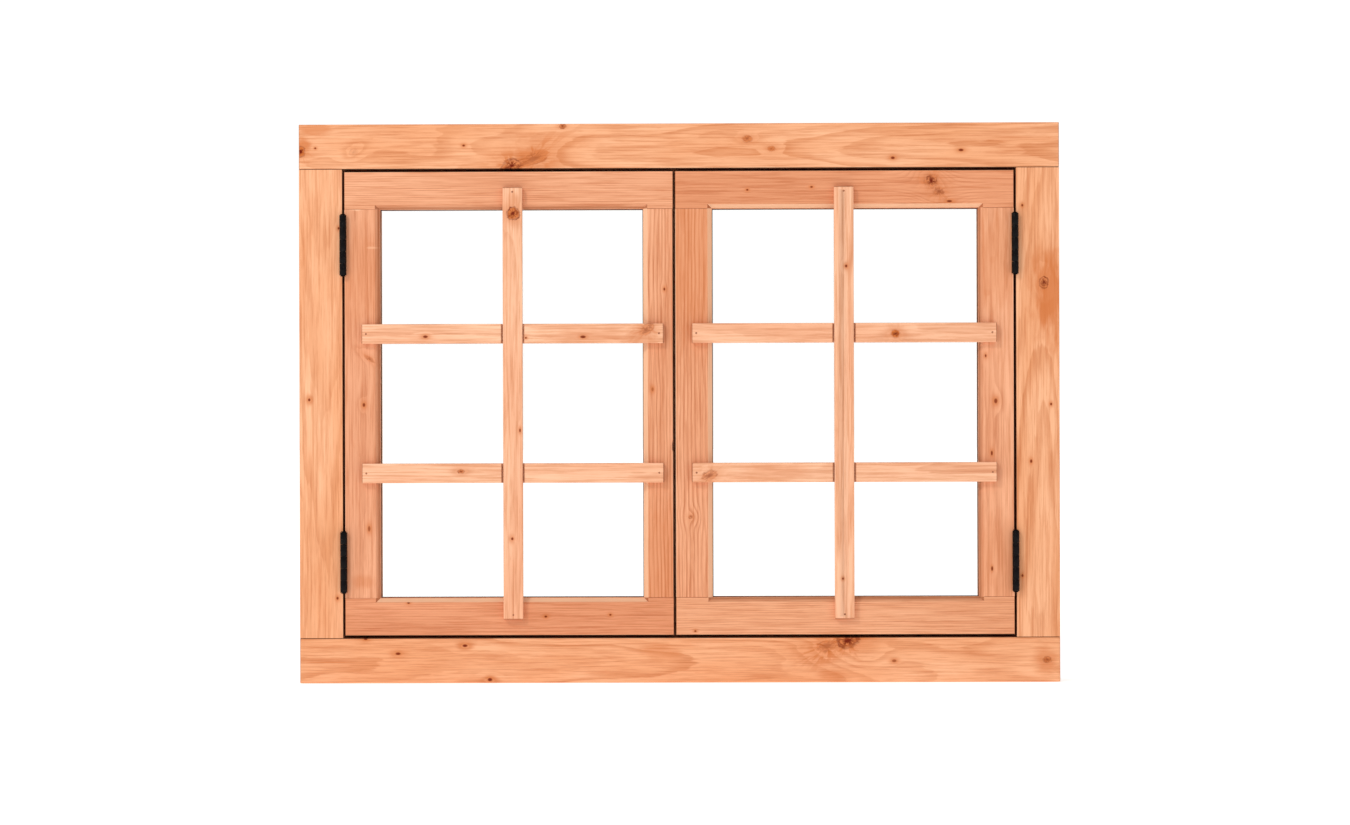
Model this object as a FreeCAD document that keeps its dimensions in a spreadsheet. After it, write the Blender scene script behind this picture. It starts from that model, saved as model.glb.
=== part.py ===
"""Double casement window in planed softwood.

A head, a sill and two jambs make the frame. Two outward-opening sashes hang on butt hinges and
close against stop battens and a slim centre post behind the meeting gap. Each sash holds a pane
between glazing tape and beads, with a cross-halved grille of three bars nailed to its face.

Millimetres, +Z up. The outside of the window faces -Y. The origin is the centre of the sill's
underside, at half the frame's depth.
"""

import FreeCAD, Part
import os

import Sketcher
from FreeCAD import Placement, Rotation, Vector

SHEET = "Sizes"

# (alias, millimetres, what it is)
DRIVING = [
    ("frame_width", 930.0, "outside width of the frame"),
    ("frame_height", 684.0, "outside height of the frame"),
    ("frame_depth", 70.0, "front to back of the frame"),
    ("head_face", 55.0, "height of the head's face"),
    ("sill_face", 55.0, "height of the sill's face"),
    ("jamb_face", 53.0, "width of a jamb's face"),
    ("stop_width", 15.0, "how far a stop batten stands in from the frame"),
    ("stop_gap", 1.0, "air between a closed sash and its stop"),
    ("post_width", 22.0, "width of the centre post"),
    ("side_gap", 2.5, "gap between a jamb and its sash"),
    ("end_gap", 3.0, "gap above and below a sash"),
    ("meeting_gap", 2.8, "gap between the two sashes"),
    ("meeting_shift", 5.8, "how far left of centre the sashes meet"),
    ("sash_thickness", 40.0, "front to back of a sash"),
    ("rail_face", 46.0, "height of a sash rail's face"),
    ("hinge_stile_face", 43.0, "width of a hinge stile's face"),
    ("left_meeting_face", 36.7, "width of the left sash's meeting stile"),
    ("right_meeting_face", 45.0, "width of the right sash's meeting stile"),
    ("chamfer_width", 5.5, "chamfer round the front of a pane's opening"),
    ("edge_bevel", 2.5, "how far a sash's closing edge is bevelled at the back"),
    ("rebate_width", 10.0, "how far the glazing rebate is cut into a member's face"),
    ("tape_thickness", 2.0, "glazing tape in front of the pane"),
    ("tape_show", 0.8, "how far the tape shows inside the opening's edge"),
    ("glass_thickness", 4.0, "pane thickness"),
    ("glass_margin", 2.0, "air round the pane's edge"),
    ("bead_depth", 16.0, "front to back of a glazing bead"),
    ("bar_width", 24.0, "face width of a glazing bar"),
    ("bar_thickness", 9.0, "front to back of a glazing bar"),
    ("bar_pitch", 170.4, "between the centres of the two cross bars"),
    ("bar_shift", 2.0, "how far the upright bar stands towards the meeting stile"),
    ("bar_rail_lap", 26.0, "how far the upright bar laps a rail"),
    ("bar_hinge_lap", 21.5, "how far a cross bar laps the hinge stile"),
    ("bar_meeting_lap", 25.0, "how far a cross bar laps the meeting stile"),
    ("bar_shoulder_gap", 1.5, "gap each side of the upright bar in a cross bar's housing"),
    ("bar_halving_play", 0.2, "play each side of a cross bar in the upright bar's housing"),
    ("bar_nail_inset", 5.5, "from a bar's end to its nail"),
    ("bar_nail_length", 26.0, "length of a bar nail"),
    ("bar_nail_radius", 1.1, "radius of a bar nail"),
    ("dowel_radius", 4.0, "radius of a corner dowel"),
    ("dowel_length", 50.0, "length of a corner dowel"),
    ("dowel_front_inset", 8.0, "from a sash's front face to its front dowels"),
    ("dowel_back_inset", 13.0, "from a sash's back face to its back dowels"),
    ("hinge_length", 74.0, "height of a hinge leaf"),
    ("hinge_inset", 53.0, "from a sash's end to the near end of its hinge"),
    ("knuckle_count", 5.0, "knuckles in a hinge"),
    ("knuckle_radius", 4.25, "outside radius of a knuckle"),
    ("knuckle_gap", 0.3, "gap between neighbouring knuckles"),
    ("hinge_standoff", 4.8, "from the window's face to a hinge's axis"),
    ("pin_radius", 2.42, "radius of a hinge pin"),
    ("pin_play", 0.08, "radial play of a hinge pin"),
    ("pin_cap_radius", 3.3, "radius of a hinge pin's caps"),
    ("pin_cap_height", 1.0, "height of a hinge pin's cap"),
    ("leaf_thickness", 1.6, "thickness of a hinge leaf"),
    ("leaf_depth", 20.0, "how far a leaf reaches into the gap"),
    ("leaf_spread", 0.5, "air between the two leaves of a closed hinge"),
    ("mortise_play", 0.2, "play round a leaf in its mortise"),
    ("hinge_screw_length", 20.0, "length of a hinge screw"),
    ("hinge_screw_radius", 1.75, "radius of a hinge screw's shank"),
    ("hinge_screw_head", 3.2, "radius of a hinge screw's head"),
    ("hinge_screw_pitch", 27.0, "between the screws of a leaf, up and down"),
    ("hinge_screw_set_back", 10.0, "from the window's face to the middle of a leaf's screws"),
    ("hinge_screw_stagger", 4.0, "how far a leaf's screws step either side of that line"),
    ("frame_screw_length", 100.0, "length of a frame screw"),
    ("frame_screw_radius", 2.5, "radius of a frame screw's shank"),
    ("frame_screw_head", 5.0, "radius of a frame screw's head"),
    ("frame_screw_spread", 36.0, "between the two screws of a frame corner"),
    ("stop_pin_length", 35.0, "length of a stop pin"),
    ("stop_pin_radius", 0.9, "radius of a stop pin"),
    ("stop_pin_inset", 120.0, "from a stop batten's end to its pin"),
    ("bead_pin_length", 20.0, "length of a bead pin"),
    ("bead_pin_radius", 0.7, "radius of a bead pin"),
    ("bead_pin_inset", 80.0, "from a bead's end to its pin"),
    ("bolt_plate_width", 14.0, "width of a tower bolt's plate"),
    ("bolt_plate_length", 80.0, "length of a tower bolt's plate"),
    ("bolt_plate_thickness", 1.5, "thickness of a tower bolt's plate"),
    ("bolt_post_gap", 2.5, "from the centre post to a tower bolt's plate"),
    ("bolt_lift", 2.0, "from the sill stop up to a drawn bolt"),
    ("bolt_throw", 12.0, "how far a tower bolt shoots"),
    ("rod_radius", 3.0, "radius of a tower bolt's rod"),
    ("rod_play", 0.08, "radial play of a rod in its guides"),
    ("rod_length", 70.0, "length of a tower bolt's rod"),
    ("rod_set_back", 7.0, "from a sash's back face to the rod's axis"),
    ("rod_inset", 4.0, "from the plate's edge away from the post to the rod's axis"),
    ("rod_tip_chamfer", 1.0, "chamfer at a rod's ends"),
    ("keeper_play", 0.3, "radial play of a rod in the sill stop's hole"),
    ("keeper_depth", 13.0, "depth of the hole in the sill stop"),
    ("guide_width", 8.0, "width of a rod guide"),
    ("guide_height", 10.0, "height of a rod guide"),
    ("guide_depth", 10.2, "how far a rod guide stands off the plate"),
    ("guide_inset", 15.0, "from the plate's end to the middle of a guide"),
    ("knob_radius", 3.5, "radius of a bolt's knob"),
    ("peg_radius", 2.4, "radius of the peg that carries the knob"),
    ("knob_reach", 13.0, "from the rod's axis to the knob's end"),
    ("knob_height", 46.0, "from the rod's lower tip to its knob"),
    ("bolt_screw_length", 10.0, "length of a bolt screw"),
    ("bolt_screw_radius", 1.4, "radius of a bolt screw's shank"),
    ("bolt_screw_head", 2.7, "radius of a bolt screw's head"),
    ("bolt_screw_inset", 5.0, "from the plate's end to its screw"),
    ("bolt_screw_edge", 4.0, "from the plate's edge beside the post to its screws"),
    ("hole_play", 0.1, "radial play of a fastener in its hole"),
]


class Size:
    """A length that carries both its spreadsheet expression and its present value."""

    def __init__(self, text, value):
        self.text = text
        self.value = value

    @staticmethod
    def of(other):
        return other if isinstance(other, Size) else Size(repr(float(other)), float(other))

    def __add__(self, other):
        other = Size.of(other)
        return Size(f"({self.text} + {other.text})", self.value + other.value)

    def __sub__(self, other):
        other = Size.of(other)
        return Size(f"({self.text} - {other.text})", self.value - other.value)

    def __mul__(self, other):
        other = Size.of(other)
        return Size(f"({self.text} * {other.text})", self.value * other.value)

    def __truediv__(self, other):
        other = Size.of(other)
        return Size(f"({self.text} / {other.text})", self.value / other.value)

    def __neg__(self):
        return Size(f"(0 - {self.text})", -self.value)

    __radd__ = __add__
    __rmul__ = __mul__


ZERO = Size.of(0)

doc = FreeCAD.newDocument("casement_window")
sheet = doc.addObject("Spreadsheet::Sheet", SHEET)
for row, (alias, number, note) in enumerate(DRIVING, start=1):
    sheet.set(f"A{row}", alias)
    sheet.set(f"B{row}", str(number))
    sheet.setAlias(f"B{row}", alias)
    sheet.set(f"C{row}", note)
doc.recompute()


class Sizes:
    """The driving sizes, read from the sheet by name."""

    def __getattr__(self, alias):
        return Size(f"{SHEET}.{alias}", float(sheet.get(alias)))


s = Sizes()


# ---------------------------------------------------------------- building blocks

DIRECTIONS = {
    "+x": Vector(1, 0, 0),
    "-x": Vector(-1, 0, 0),
    "+y": Vector(0, 1, 0),
    "-y": Vector(0, -1, 0),
    "+z": Vector(0, 0, 1),
    "-z": Vector(0, 0, -1),
}


def bind(item, **sizes):
    """Bind each named property of a document object to a Size."""
    for prop, size in sizes.items():
        item.setExpression(prop, Size.of(size).text)


def move(item, point, toward="+z"):
    """Turn an object's own Z towards a direction and bind its place to three Sizes."""
    item.Placement = Placement(Vector(), Rotation(Vector(0, 0, 1), DIRECTIONS[toward]))
    for axis, size in zip("xyz", point):
        item.setExpression(f"Placement.Base.{axis}", Size.of(size).text)


def box(name, x, y, z):
    """A box between two Sizes on each axis."""
    item = doc.addObject("Part::Box", name)
    bind(item, Length=x[1] - x[0], Width=y[1] - y[0], Height=z[1] - z[0])
    move(item, (x[0], y[0], z[0]))
    return item


def cylinder(name, start, toward, radius, length):
    """A cylinder from a start point towards a direction."""
    item = doc.addObject("Part::Cylinder", name)
    bind(item, Radius=radius, Height=length)
    move(item, start, toward)
    return item


def cone(name, start, toward, first_radius, last_radius, length):
    """A cone from a start point towards a direction."""
    item = doc.addObject("Part::Cone", name)
    bind(item, Radius1=first_radius, Radius2=last_radius, Height=length)
    move(item, start, toward)
    return item


def wedge(name, y, front_x, front_z, back_x, back_z):
    """A block whose rectangle changes from its front plane to its back plane."""
    item = doc.addObject("Part::Wedge", name)
    bind(item, Ymin=y[0], Ymax=y[1])
    bind(item, Xmin=front_x[0], Xmax=front_x[1], Zmin=front_z[0], Zmax=front_z[1])
    bind(item, X2min=back_x[0], X2max=back_x[1], Z2min=back_z[0], Z2max=back_z[1])
    return item


def fuse(name, items):
    """One solid from several that overlap or touch."""
    item = doc.addObject("Part::MultiFuse", name)
    item.Shapes = items
    return item


def cut(name, base, tools):
    """A base less its tools."""
    item = doc.addObject("Part::Cut", name)
    item.Base = base
    item.Tool = tools[0] if len(tools) == 1 else fuse(f"{name}_tools", tools)
    return item


def group(name, items):
    """Separate solids of one kind, kept as one sub-part."""
    item = doc.addObject("Part::Compound", name)
    item.Links = items
    return item


def origin_plane(body, role):
    """One of a body's own origin planes."""
    return next(item for item in body.Origin.OriginFeatures if item.Role == role)


def turned(name, profile, point):
    """A lathe-turned PartDesign body: a closed outline of (radius, height) Sizes about Z."""
    body = doc.addObject("PartDesign::Body", name)
    sketch = body.newObject("Sketcher::SketchObject", f"{name}_outline")
    sketch.AttachmentSupport = [(origin_plane(body, "XZ_Plane"), "")]
    sketch.MapMode = "FlatFace"
    points = [Vector(radius.value, height.value, 0) for radius, height in profile]
    count = len(points)
    for index, start in enumerate(points):
        sketch.addGeometry(Part.LineSegment(start, points[(index + 1) % count]), False)
    for index in range(count):
        sketch.addConstraint(Sketcher.Constraint("Coincident", index, 2, (index + 1) % count, 1))
    for index, corner in enumerate(profile):
        for kind, axis, size in zip(("DistanceX", "DistanceY"), (-2, -1), corner):
            if size is ZERO:
                sketch.addConstraint(Sketcher.Constraint("PointOnObject", index, 1, axis))
                continue
            made = sketch.addConstraint(Sketcher.Constraint(kind, -1, 1, index, 1, size.value))
            sketch.setExpression(f"Constraints[{made}]", size.text)
    spin = body.newObject("PartDesign::Revolution", f"{name}_turning")
    spin.Profile = sketch
    spin.ReferenceAxis = (sketch, ["V_Axis"])
    spin.Angle = 360.0
    body.Tip = spin
    move(body, point)
    return body


def screw(name, start, toward, length, radius, head):
    """A countersunk screw from its head's face, and the hole that it needs."""
    sink = head - radius
    solid = fuse(name, [
        cylinder(f"{name}_shank", start, toward, radius, length),
        cone(f"{name}_head", start, toward, head, radius, sink),
    ])
    hole = fuse(f"{name}_hole", [
        cylinder(f"{name}_bore", start, toward, radius + s.hole_play, length + s.hole_play),
        cone(f"{name}_sink", start, toward, head + s.hole_play, radius + s.hole_play, sink),
    ])
    return solid, hole


def nail(name, start, toward, length, radius):
    """A lost-head nail from its head's face, and the hole that it needs."""
    solid = cylinder(name, start, toward, radius, length)
    hole = cylinder(f"{name}_hole", start, toward, radius + s.hole_play, length + s.hole_play)
    return solid, hole


nodes = {}


def keep(name, item):
    """Take an object as a finished sub-part, under its own label."""
    item.Label = name
    nodes[name] = item
    return item


# ---------------------------------------------------------------- shared lines of the design

front = -(s.frame_depth / 2)
back = s.frame_depth / 2
sash_back = front + s.sash_thickness
stop_front = sash_back + s.stop_gap
stop_middle = (stop_front + back) / 2

half_width = s.frame_width / 2
jamb_inside = half_width - s.jamb_face
sill_top = s.sill_face
head_under = s.frame_height - s.head_face

sash_bottom = sill_top + s.end_gap
sash_top = head_under - s.end_gap
sight_bottom = sash_bottom + s.rail_face
sight_top = sash_top - s.rail_face
sight_middle = (sight_bottom + sight_top) / 2

rebate_front = sash_back - s.bead_depth - s.glass_thickness - s.tape_thickness
glass_front = rebate_front + s.tape_thickness
bead_front = glass_front + s.glass_thickness
bead_middle = (bead_front + sash_back) / 2

meeting_x = -s.meeting_shift
stop_inside = jamb_inside - s.stop_width
post_x = (meeting_x - s.post_width / 2, meeting_x + s.post_width / 2)
hinge_y = front - s.hinge_standoff
hinge_reach = s.hinge_inset + s.hinge_length / 2
hinge_heights = {"upper": sash_top - hinge_reach, "lower": sash_bottom + hinge_reach}
keeper_top = sill_top + s.stop_width


class Side:
    """One hand of the window: it turns distances from the hinge edge into X."""

    def __init__(self, name, sign, meeting_face):
        self.name = name
        self.sign = sign
        self.meeting_face = meeting_face
        self.hinge_edge = jamb_inside - s.side_gap
        self.width = self.hinge_edge + s.meeting_shift * sign - s.meeting_gap / 2
        self.sight = (s.hinge_stile_face, self.width - meeting_face)
        self.inward = "+x" if sign < 0 else "-x"
        self.outward = "-x" if sign < 0 else "+x"

    def x(self, distance):
        """The X of a point this far in from the sash's hinge edge."""
        edge = self.hinge_edge * self.sign
        return edge - Size.of(distance) * self.sign

    def span(self, near, far):
        """The X interval between two distances from the hinge edge, low end first."""
        ends = (self.x(near), self.x(far))
        return ends if self.sign < 0 else ends[::-1]

    def node(self, name):
        """A sub-part's name on this side."""
        return f"{self.name}_{name}"


LEFT = Side("left", -1, s.left_meeting_face)
RIGHT = Side("right", 1, s.right_meeting_face)


# ---------------------------------------------------------------- hinges

def knuckle_heights(bottom, numbers):
    """The low and high Z of the numbered knuckles, and of the notches that clear them."""
    pitch = s.hinge_length / s.knuckle_count
    for number in numbers:
        low = bottom + pitch * number
        high = low + pitch
        yield low, high


def hinge_leaf(name, side, bottom, own, other, leaf_x):
    """A hinge leaf: a plate with its own knuckles, cut back round the other leaf's."""
    top = bottom + s.hinge_length
    axis = (side.x(-(s.side_gap / 2)), hinge_y)
    half_gap = s.knuckle_gap / 2
    root = hinge_y + (s.knuckle_radius + s.pin_radius) / 2
    clear = hinge_y + s.knuckle_radius + s.knuckle_gap
    solids = [box(f"{name}_plate", leaf_x, (root, front + s.leaf_depth), (bottom, top))]
    tools = []
    for index, (low, high) in enumerate(knuckle_heights(bottom, own)):
        start = (*axis, low + half_gap)
        height = high - low - s.knuckle_gap
        solids.append(cylinder(f"{name}_knuckle_{index}", start, "+z", s.knuckle_radius, height))
    for index, (low, high) in enumerate(knuckle_heights(bottom, other)):
        notch_z = (low - half_gap, high + half_gap)
        tools.append(box(f"{name}_notch_{index}", leaf_x, (hinge_y, clear), notch_z))
    bore = cylinder(f"{name}_bore", (*axis, bottom), "+z", s.pin_radius + s.pin_play,
                    s.hinge_length)
    return cut(name, fuse(f"{name}_blank", solids), tools + [bore])


def leaf_screws(name, middle, face, toward):
    """Three staggered screws of a leaf, driven from its face, and their holes."""
    screws = []
    holes = []
    for step in (-1, 0, 1):
        stagger = s.hinge_screw_stagger * (-1 if step == 0 else 1)
        start = (face, front + s.hinge_screw_set_back + stagger, middle + s.hinge_screw_pitch * step)
        made, hole = screw(f"{name}_{step + 1}", start, toward, s.hinge_screw_length,
                           s.hinge_screw_radius, s.hinge_screw_head)
        screws.append(made)
        holes.append(hole)
    return screws, holes


def mortise(name, side, near, far, middle):
    """The shallow housing that a leaf is let into."""
    reach = s.hinge_length / 2 + s.mortise_play
    return box(name, side.span(near, far), (front, front + s.leaf_depth + s.mortise_play),
               (middle - reach, middle + reach))


def build_hinges(side):
    """Both hinges of a side: leaves and screws kept, housings returned for jamb and stile."""
    axis_at = -(s.side_gap / 2)
    inner_face = axis_at + s.leaf_spread / 2
    outer_face = axis_at - s.leaf_spread / 2
    jamb_tools = []
    stile_tools = []
    frame_screws = []
    sash_screws = []
    pins = []
    for place, middle in hinge_heights.items():
        bottom = middle - s.hinge_length / 2
        frame_leaf_x = side.span(outer_face - s.leaf_thickness, outer_face)
        sash_leaf_x = side.span(inner_face, inner_face + s.leaf_thickness)
        frame_name = side.node(f"{place}_hinge_frame_leaf")
        sash_name = side.node(f"{place}_hinge_sash_leaf")
        frame_leaf = hinge_leaf(f"{frame_name}_blank", side, bottom, (0, 2, 4), (1, 3),
                                frame_leaf_x)
        sash_leaf = hinge_leaf(f"{sash_name}_blank", side, bottom, (1, 3), (0, 2, 4), sash_leaf_x)
        made, holes = leaf_screws(f"{frame_name}_screw", middle, side.x(outer_face),
                                  side.outward)
        keep(frame_name, cut(frame_name, frame_leaf, holes))
        frame_screws += made
        jamb_tools += holes
        made, holes = leaf_screws(f"{sash_name}_screw", middle, side.x(inner_face),
                                  side.inward)
        keep(sash_name, cut(sash_name, sash_leaf, holes))
        sash_screws += made
        stile_tools += holes
        jamb_tools.append(mortise(f"{frame_name}_mortise", side, outer_face - s.leaf_thickness,
                                  outer_face, middle))
        stile_tools.append(mortise(f"{sash_name}_mortise", side, inner_face,
                                   inner_face + s.leaf_thickness, middle))
        pins.append(hinge_pin(side.node(f"{place}_pin"), (side.x(axis_at), hinge_y, bottom)))
    return jamb_tools, stile_tools, frame_screws, sash_screws, pins


def hinge_pin(name, bottom):
    """A capped hinge pin, turned about the hinge's axis."""
    lift = s.knuckle_gap / 2
    low = -lift
    high = s.hinge_length + lift
    profile = [
        (ZERO, low - s.pin_cap_height),
        (s.pin_cap_radius, low - s.pin_cap_height),
        (s.pin_cap_radius, low),
        (s.pin_radius, low),
        (s.pin_radius, high),
        (s.pin_cap_radius, high),
        (s.pin_cap_radius, high + s.pin_cap_height),
        (ZERO, high + s.pin_cap_height),
    ]
    return turned(name, profile, bottom)


# ---------------------------------------------------------------- tower bolts

def build_bolt(side, screws):
    """A tower bolt on the meeting stile's back, and its screws' holes and keeper hole."""
    post_side = post_x[0] if side.sign < 0 else post_x[1]
    near_edge = post_side + s.bolt_post_gap * side.sign
    far_edge = near_edge + s.bolt_plate_width * side.sign
    plate_x = (far_edge, near_edge) if side.sign < 0 else (near_edge, far_edge)
    rod_x = far_edge - s.rod_inset * side.sign
    screw_x = near_edge + s.bolt_screw_edge * side.sign
    bottom = keeper_top + s.bolt_lift
    top = bottom + s.bolt_plate_length
    plate_back = sash_back + s.bolt_plate_thickness
    rod_y = sash_back + s.rod_set_back

    name = side.node("bolt_plate")
    solids = [box(f"{name}_base", plate_x, (sash_back, plate_back), (bottom, top))]
    guide_x = (rod_x - s.guide_width / 2, rod_x + s.guide_width / 2)
    guide_y = (sash_back, plate_back + s.guide_depth)
    for place, middle in (("low", bottom + s.guide_inset), ("high", top - s.guide_inset)):
        guide_z = (middle - s.guide_height / 2, middle + s.guide_height / 2)
        solids.append(box(f"{name}_{place}_guide", guide_x, guide_y, guide_z))
    bore = cylinder(f"{name}_bore", (rod_x, rod_y, bottom), "+z", s.rod_radius + s.rod_play,
                    s.bolt_plate_length)
    holes = []
    heights = (bottom + s.bolt_screw_inset, (bottom + top) / 2, top - s.bolt_screw_inset)
    for index, height in enumerate(heights):
        made, hole = screw(f"{name}_screw_{index}", (screw_x, plate_back, height), "-y",
                           s.bolt_screw_length, s.bolt_screw_radius, s.bolt_screw_head)
        screws.append(made)
        holes.append(hole)
    keep(name, cut(name, fuse(f"{name}_blank", solids), holes + [bore]))

    name = side.node("bolt_rod")
    tip = s.rod_radius - s.rod_tip_chamfer
    bar = turned(f"{name}_bar", [
        (ZERO, ZERO),
        (tip, ZERO),
        (s.rod_radius, s.rod_tip_chamfer),
        (s.rod_radius, s.rod_length - s.rod_tip_chamfer),
        (tip, s.rod_length),
        (ZERO, s.rod_length),
    ], (rod_x, rod_y, bottom))
    stem = s.knob_reach - s.knob_radius
    knob_z = bottom + s.knob_height
    peg = cylinder(f"{name}_peg", (rod_x, rod_y, knob_z), "+y", s.peg_radius, stem)
    ball = doc.addObject("Part::Sphere", f"{name}_ball")
    bind(ball, Radius=s.knob_radius)
    move(ball, (rod_x, rod_y + stem, knob_z))
    keep(name, fuse(name, [bar, peg, ball]))

    keeper = cylinder(side.node("keeper_hole"), (rod_x, rod_y, keeper_top), "-z",
                      s.rod_radius + s.keeper_play, s.keeper_depth)
    return holes, keeper


# ---------------------------------------------------------------- sashes

def build_bars(side):
    """The cross-halved grille nailed to a sash's face; gives the nails and their holes."""
    bar_front = front - s.bar_thickness
    lap_y = front - s.bar_thickness / 2
    half = s.bar_width / 2
    middle = (side.sight[0] + side.sight[1]) / 2 + s.bar_shift
    upright_x = side.span(middle - half, middle + half)
    upright_z = (sight_bottom - s.bar_rail_lap, sight_top + s.bar_rail_lap)
    cross_ends = (side.sight[0] - s.bar_hinge_lap, side.sight[1] + s.bar_meeting_lap)
    cross_x = side.span(*cross_ends)
    heights = {
        "upper": sight_middle + s.bar_pitch / 2,
        "lower": sight_middle - s.bar_pitch / 2,
    }
    nails = []
    holes = []

    def bar_nail(name, distance, height):
        made, hole = nail(name, (side.x(distance), bar_front, height), "+y",
                          s.bar_nail_length, s.bar_nail_radius)
        nails.append(made)
        holes.append(hole)
        return hole

    upright = box(side.node("upright_blank"), upright_x, (bar_front, front), upright_z)
    play = half + s.bar_halving_play
    tools = [
        box(side.node(f"upright_{place}_housing"), upright_x, (lap_y, front),
            (height - play, height + play))
        for place, height in heights.items()
    ]
    for place, height in (("top", upright_z[1] - s.bar_nail_inset),
                          ("bottom", upright_z[0] + s.bar_nail_inset)):
        tools.append(bar_nail(side.node(f"{place}_bar_nail"), middle, height))
    name = side.node("upright_bar")
    keep(name, cut(name, upright, tools))

    shoulder = half + s.bar_shoulder_gap
    housing_x = side.span(middle - shoulder, middle + shoulder)
    for place, height in heights.items():
        bar_z = (height - half, height + half)
        name = side.node(f"{place}_cross_bar")
        blank = box(f"{name}_blank", cross_x, (bar_front, front), bar_z)
        tools = [box(f"{name}_housing", housing_x, (bar_front, lap_y), bar_z)]
        for end, distance in (("hinge", cross_ends[0] + s.bar_nail_inset),
                              ("meeting", cross_ends[1] - s.bar_nail_inset)):
            tools.append(bar_nail(f"{name}_{end}_nail", distance, height))
        keep(name, cut(name, blank, tools))
    keep(side.node("bar_nails"), group(side.node("bar_nails"), nails))
    return holes


def build_glazing(side):
    """Tape, pane, four beads and their pins; gives the pins' holes."""
    near, far = side.sight
    pane_reach = s.rebate_width - s.glass_margin

    def ring(reach):
        return side.span(near - reach, far + reach), (sight_bottom - reach, sight_top + reach)

    pane_x, pane_z = ring(pane_reach)
    hole_x, hole_z = ring(-s.tape_show)
    keep(side.node("glass"), box(side.node("glass"), pane_x, (glass_front, bead_front), pane_z))
    tape_y = (rebate_front, glass_front)
    name = side.node("glazing_tape")
    keep(name, cut(name, box(f"{name}_blank", pane_x, tape_y, pane_z),
                   [box(f"{name}_hole", hole_x, tape_y, hole_z)]))

    bead_y = (bead_front, sash_back)
    low, high = sight_bottom - s.rebate_width, sight_top + s.rebate_width
    long_x = side.span(near - s.rebate_width, far + s.rebate_width)
    inset = s.bead_pin_inset
    beads = {
        "top_bead": (long_x, (sight_top, high), "+z",
                     [(side.x(near + inset), sight_top), (side.x(far - inset), sight_top)]),
        "bottom_bead": (long_x, (low, sight_bottom), "-z",
                        [(side.x(near + inset), sight_bottom), (side.x(far - inset), sight_bottom)]),
        "hinge_bead": (side.span(near - s.rebate_width, near), (sight_bottom, sight_top),
                       side.outward,
                       [(side.x(near), sight_bottom + inset), (side.x(near), sight_top - inset)]),
        "meeting_bead": (side.span(far, far + s.rebate_width), (sight_bottom, sight_top),
                         side.inward,
                         [(side.x(far), sight_bottom + inset), (side.x(far), sight_top - inset)]),
    }
    pins = []
    holes = []
    for bead, (bead_x, bead_z, toward, places) in beads.items():
        name = side.node(bead)
        own_holes = []
        for index, (x, z) in enumerate(places):
            made, hole = nail(f"{name}_pin_{index}", (x, bead_middle, z), toward,
                              s.bead_pin_length, s.bead_pin_radius)
            pins.append(made)
            own_holes.append(hole)
        keep(name, cut(name, box(f"{name}_blank", bead_x, bead_y, bead_z), own_holes))
        holes += own_holes
    keep(side.node("bead_pins"), group(side.node("bead_pins"), pins))
    return holes


def build_dowels(side):
    """Two dowels at each corner of a sash, in the solid beside the rebate; gives their holes."""
    dowels = []
    holes = []
    hinge_solid = s.hinge_stile_face - s.rebate_width
    meeting_solid = side.meeting_face - s.rebate_width
    stiles = {"hinge": hinge_solid / 2, "meeting": side.width - meeting_solid / 2}
    corners = {"top": sight_top, "bottom": sight_bottom}
    depths = {"front": front + s.dowel_front_inset, "back": sash_back - s.dowel_back_inset}
    for stile, distance in stiles.items():
        for corner, joint in corners.items():
            for depth, y in depths.items():
                bottom = joint - s.dowel_length / 2
                name = side.node(f"{corner}_{stile}_{depth}_dowel")
                dowels.append(cylinder(name, (side.x(distance), y, bottom), "+z",
                                       s.dowel_radius, s.dowel_length))
                holes.append(cylinder(f"{name}_hole", (side.x(distance), y, bottom - s.hole_play),
                                      "+z", s.dowel_radius + s.hole_play,
                                      s.dowel_length + s.hole_play * 2))
    keep(side.node("dowels"), group(side.node("dowels"), dowels))
    return holes


def build_sash(side, hinge_tools, hinge_screws):
    """A sash with everything that swings with it; gives the tower bolt's keeper hole."""
    near, far = side.sight
    reach = s.rebate_width
    rebate = box(side.node("rebate"), side.span(near - reach, far + reach),
                 (rebate_front, sash_back), (sight_bottom - reach, sight_top + reach))
    wide = s.chamfer_width
    chamfer = wedge(side.node("chamfer"), (front, front + wide),
                    side.span(near - wide, far + wide), (sight_bottom - wide, sight_top + wide),
                    side.span(near, far), (sight_bottom, sight_top))
    past = side.width + s.side_gap
    sash_z = (sash_bottom, sash_top)
    bevel = wedge(side.node("closing_bevel"), (front, sash_back),
                  side.span(side.width, past), sash_z,
                  side.span(side.width - s.edge_bevel, past), sash_z)

    screws = list(hinge_screws)
    bolt_holes, keeper = build_bolt(side, screws)
    keep(side.node("sash_screws"), group(side.node("sash_screws"), screws))
    nail_holes = build_bars(side)
    pin_holes = build_glazing(side)
    dowel_holes = build_dowels(side)

    shared = [rebate, chamfer] + nail_holes + pin_holes + dowel_holes
    sash_y = (front, sash_back)
    middle_z = (sight_bottom, sight_top)
    members = {
        "top_rail": (side.span(0, side.width), (sight_top, sash_top), [bevel]),
        "bottom_rail": (side.span(0, side.width), (sash_bottom, sight_bottom),
                        [bevel] + bolt_holes),
        "hinge_stile": (side.span(0, near), middle_z, hinge_tools),
        "meeting_stile": (side.span(far, side.width), middle_z, [bevel] + bolt_holes),
    }
    for member, (member_x, member_z, tools) in members.items():
        name = side.node(member)
        blank = box(f"{name}_blank", member_x, sash_y, member_z)
        keep(name, cut(name, blank, shared + tools))
    return keeper


# ---------------------------------------------------------------- frame

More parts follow.
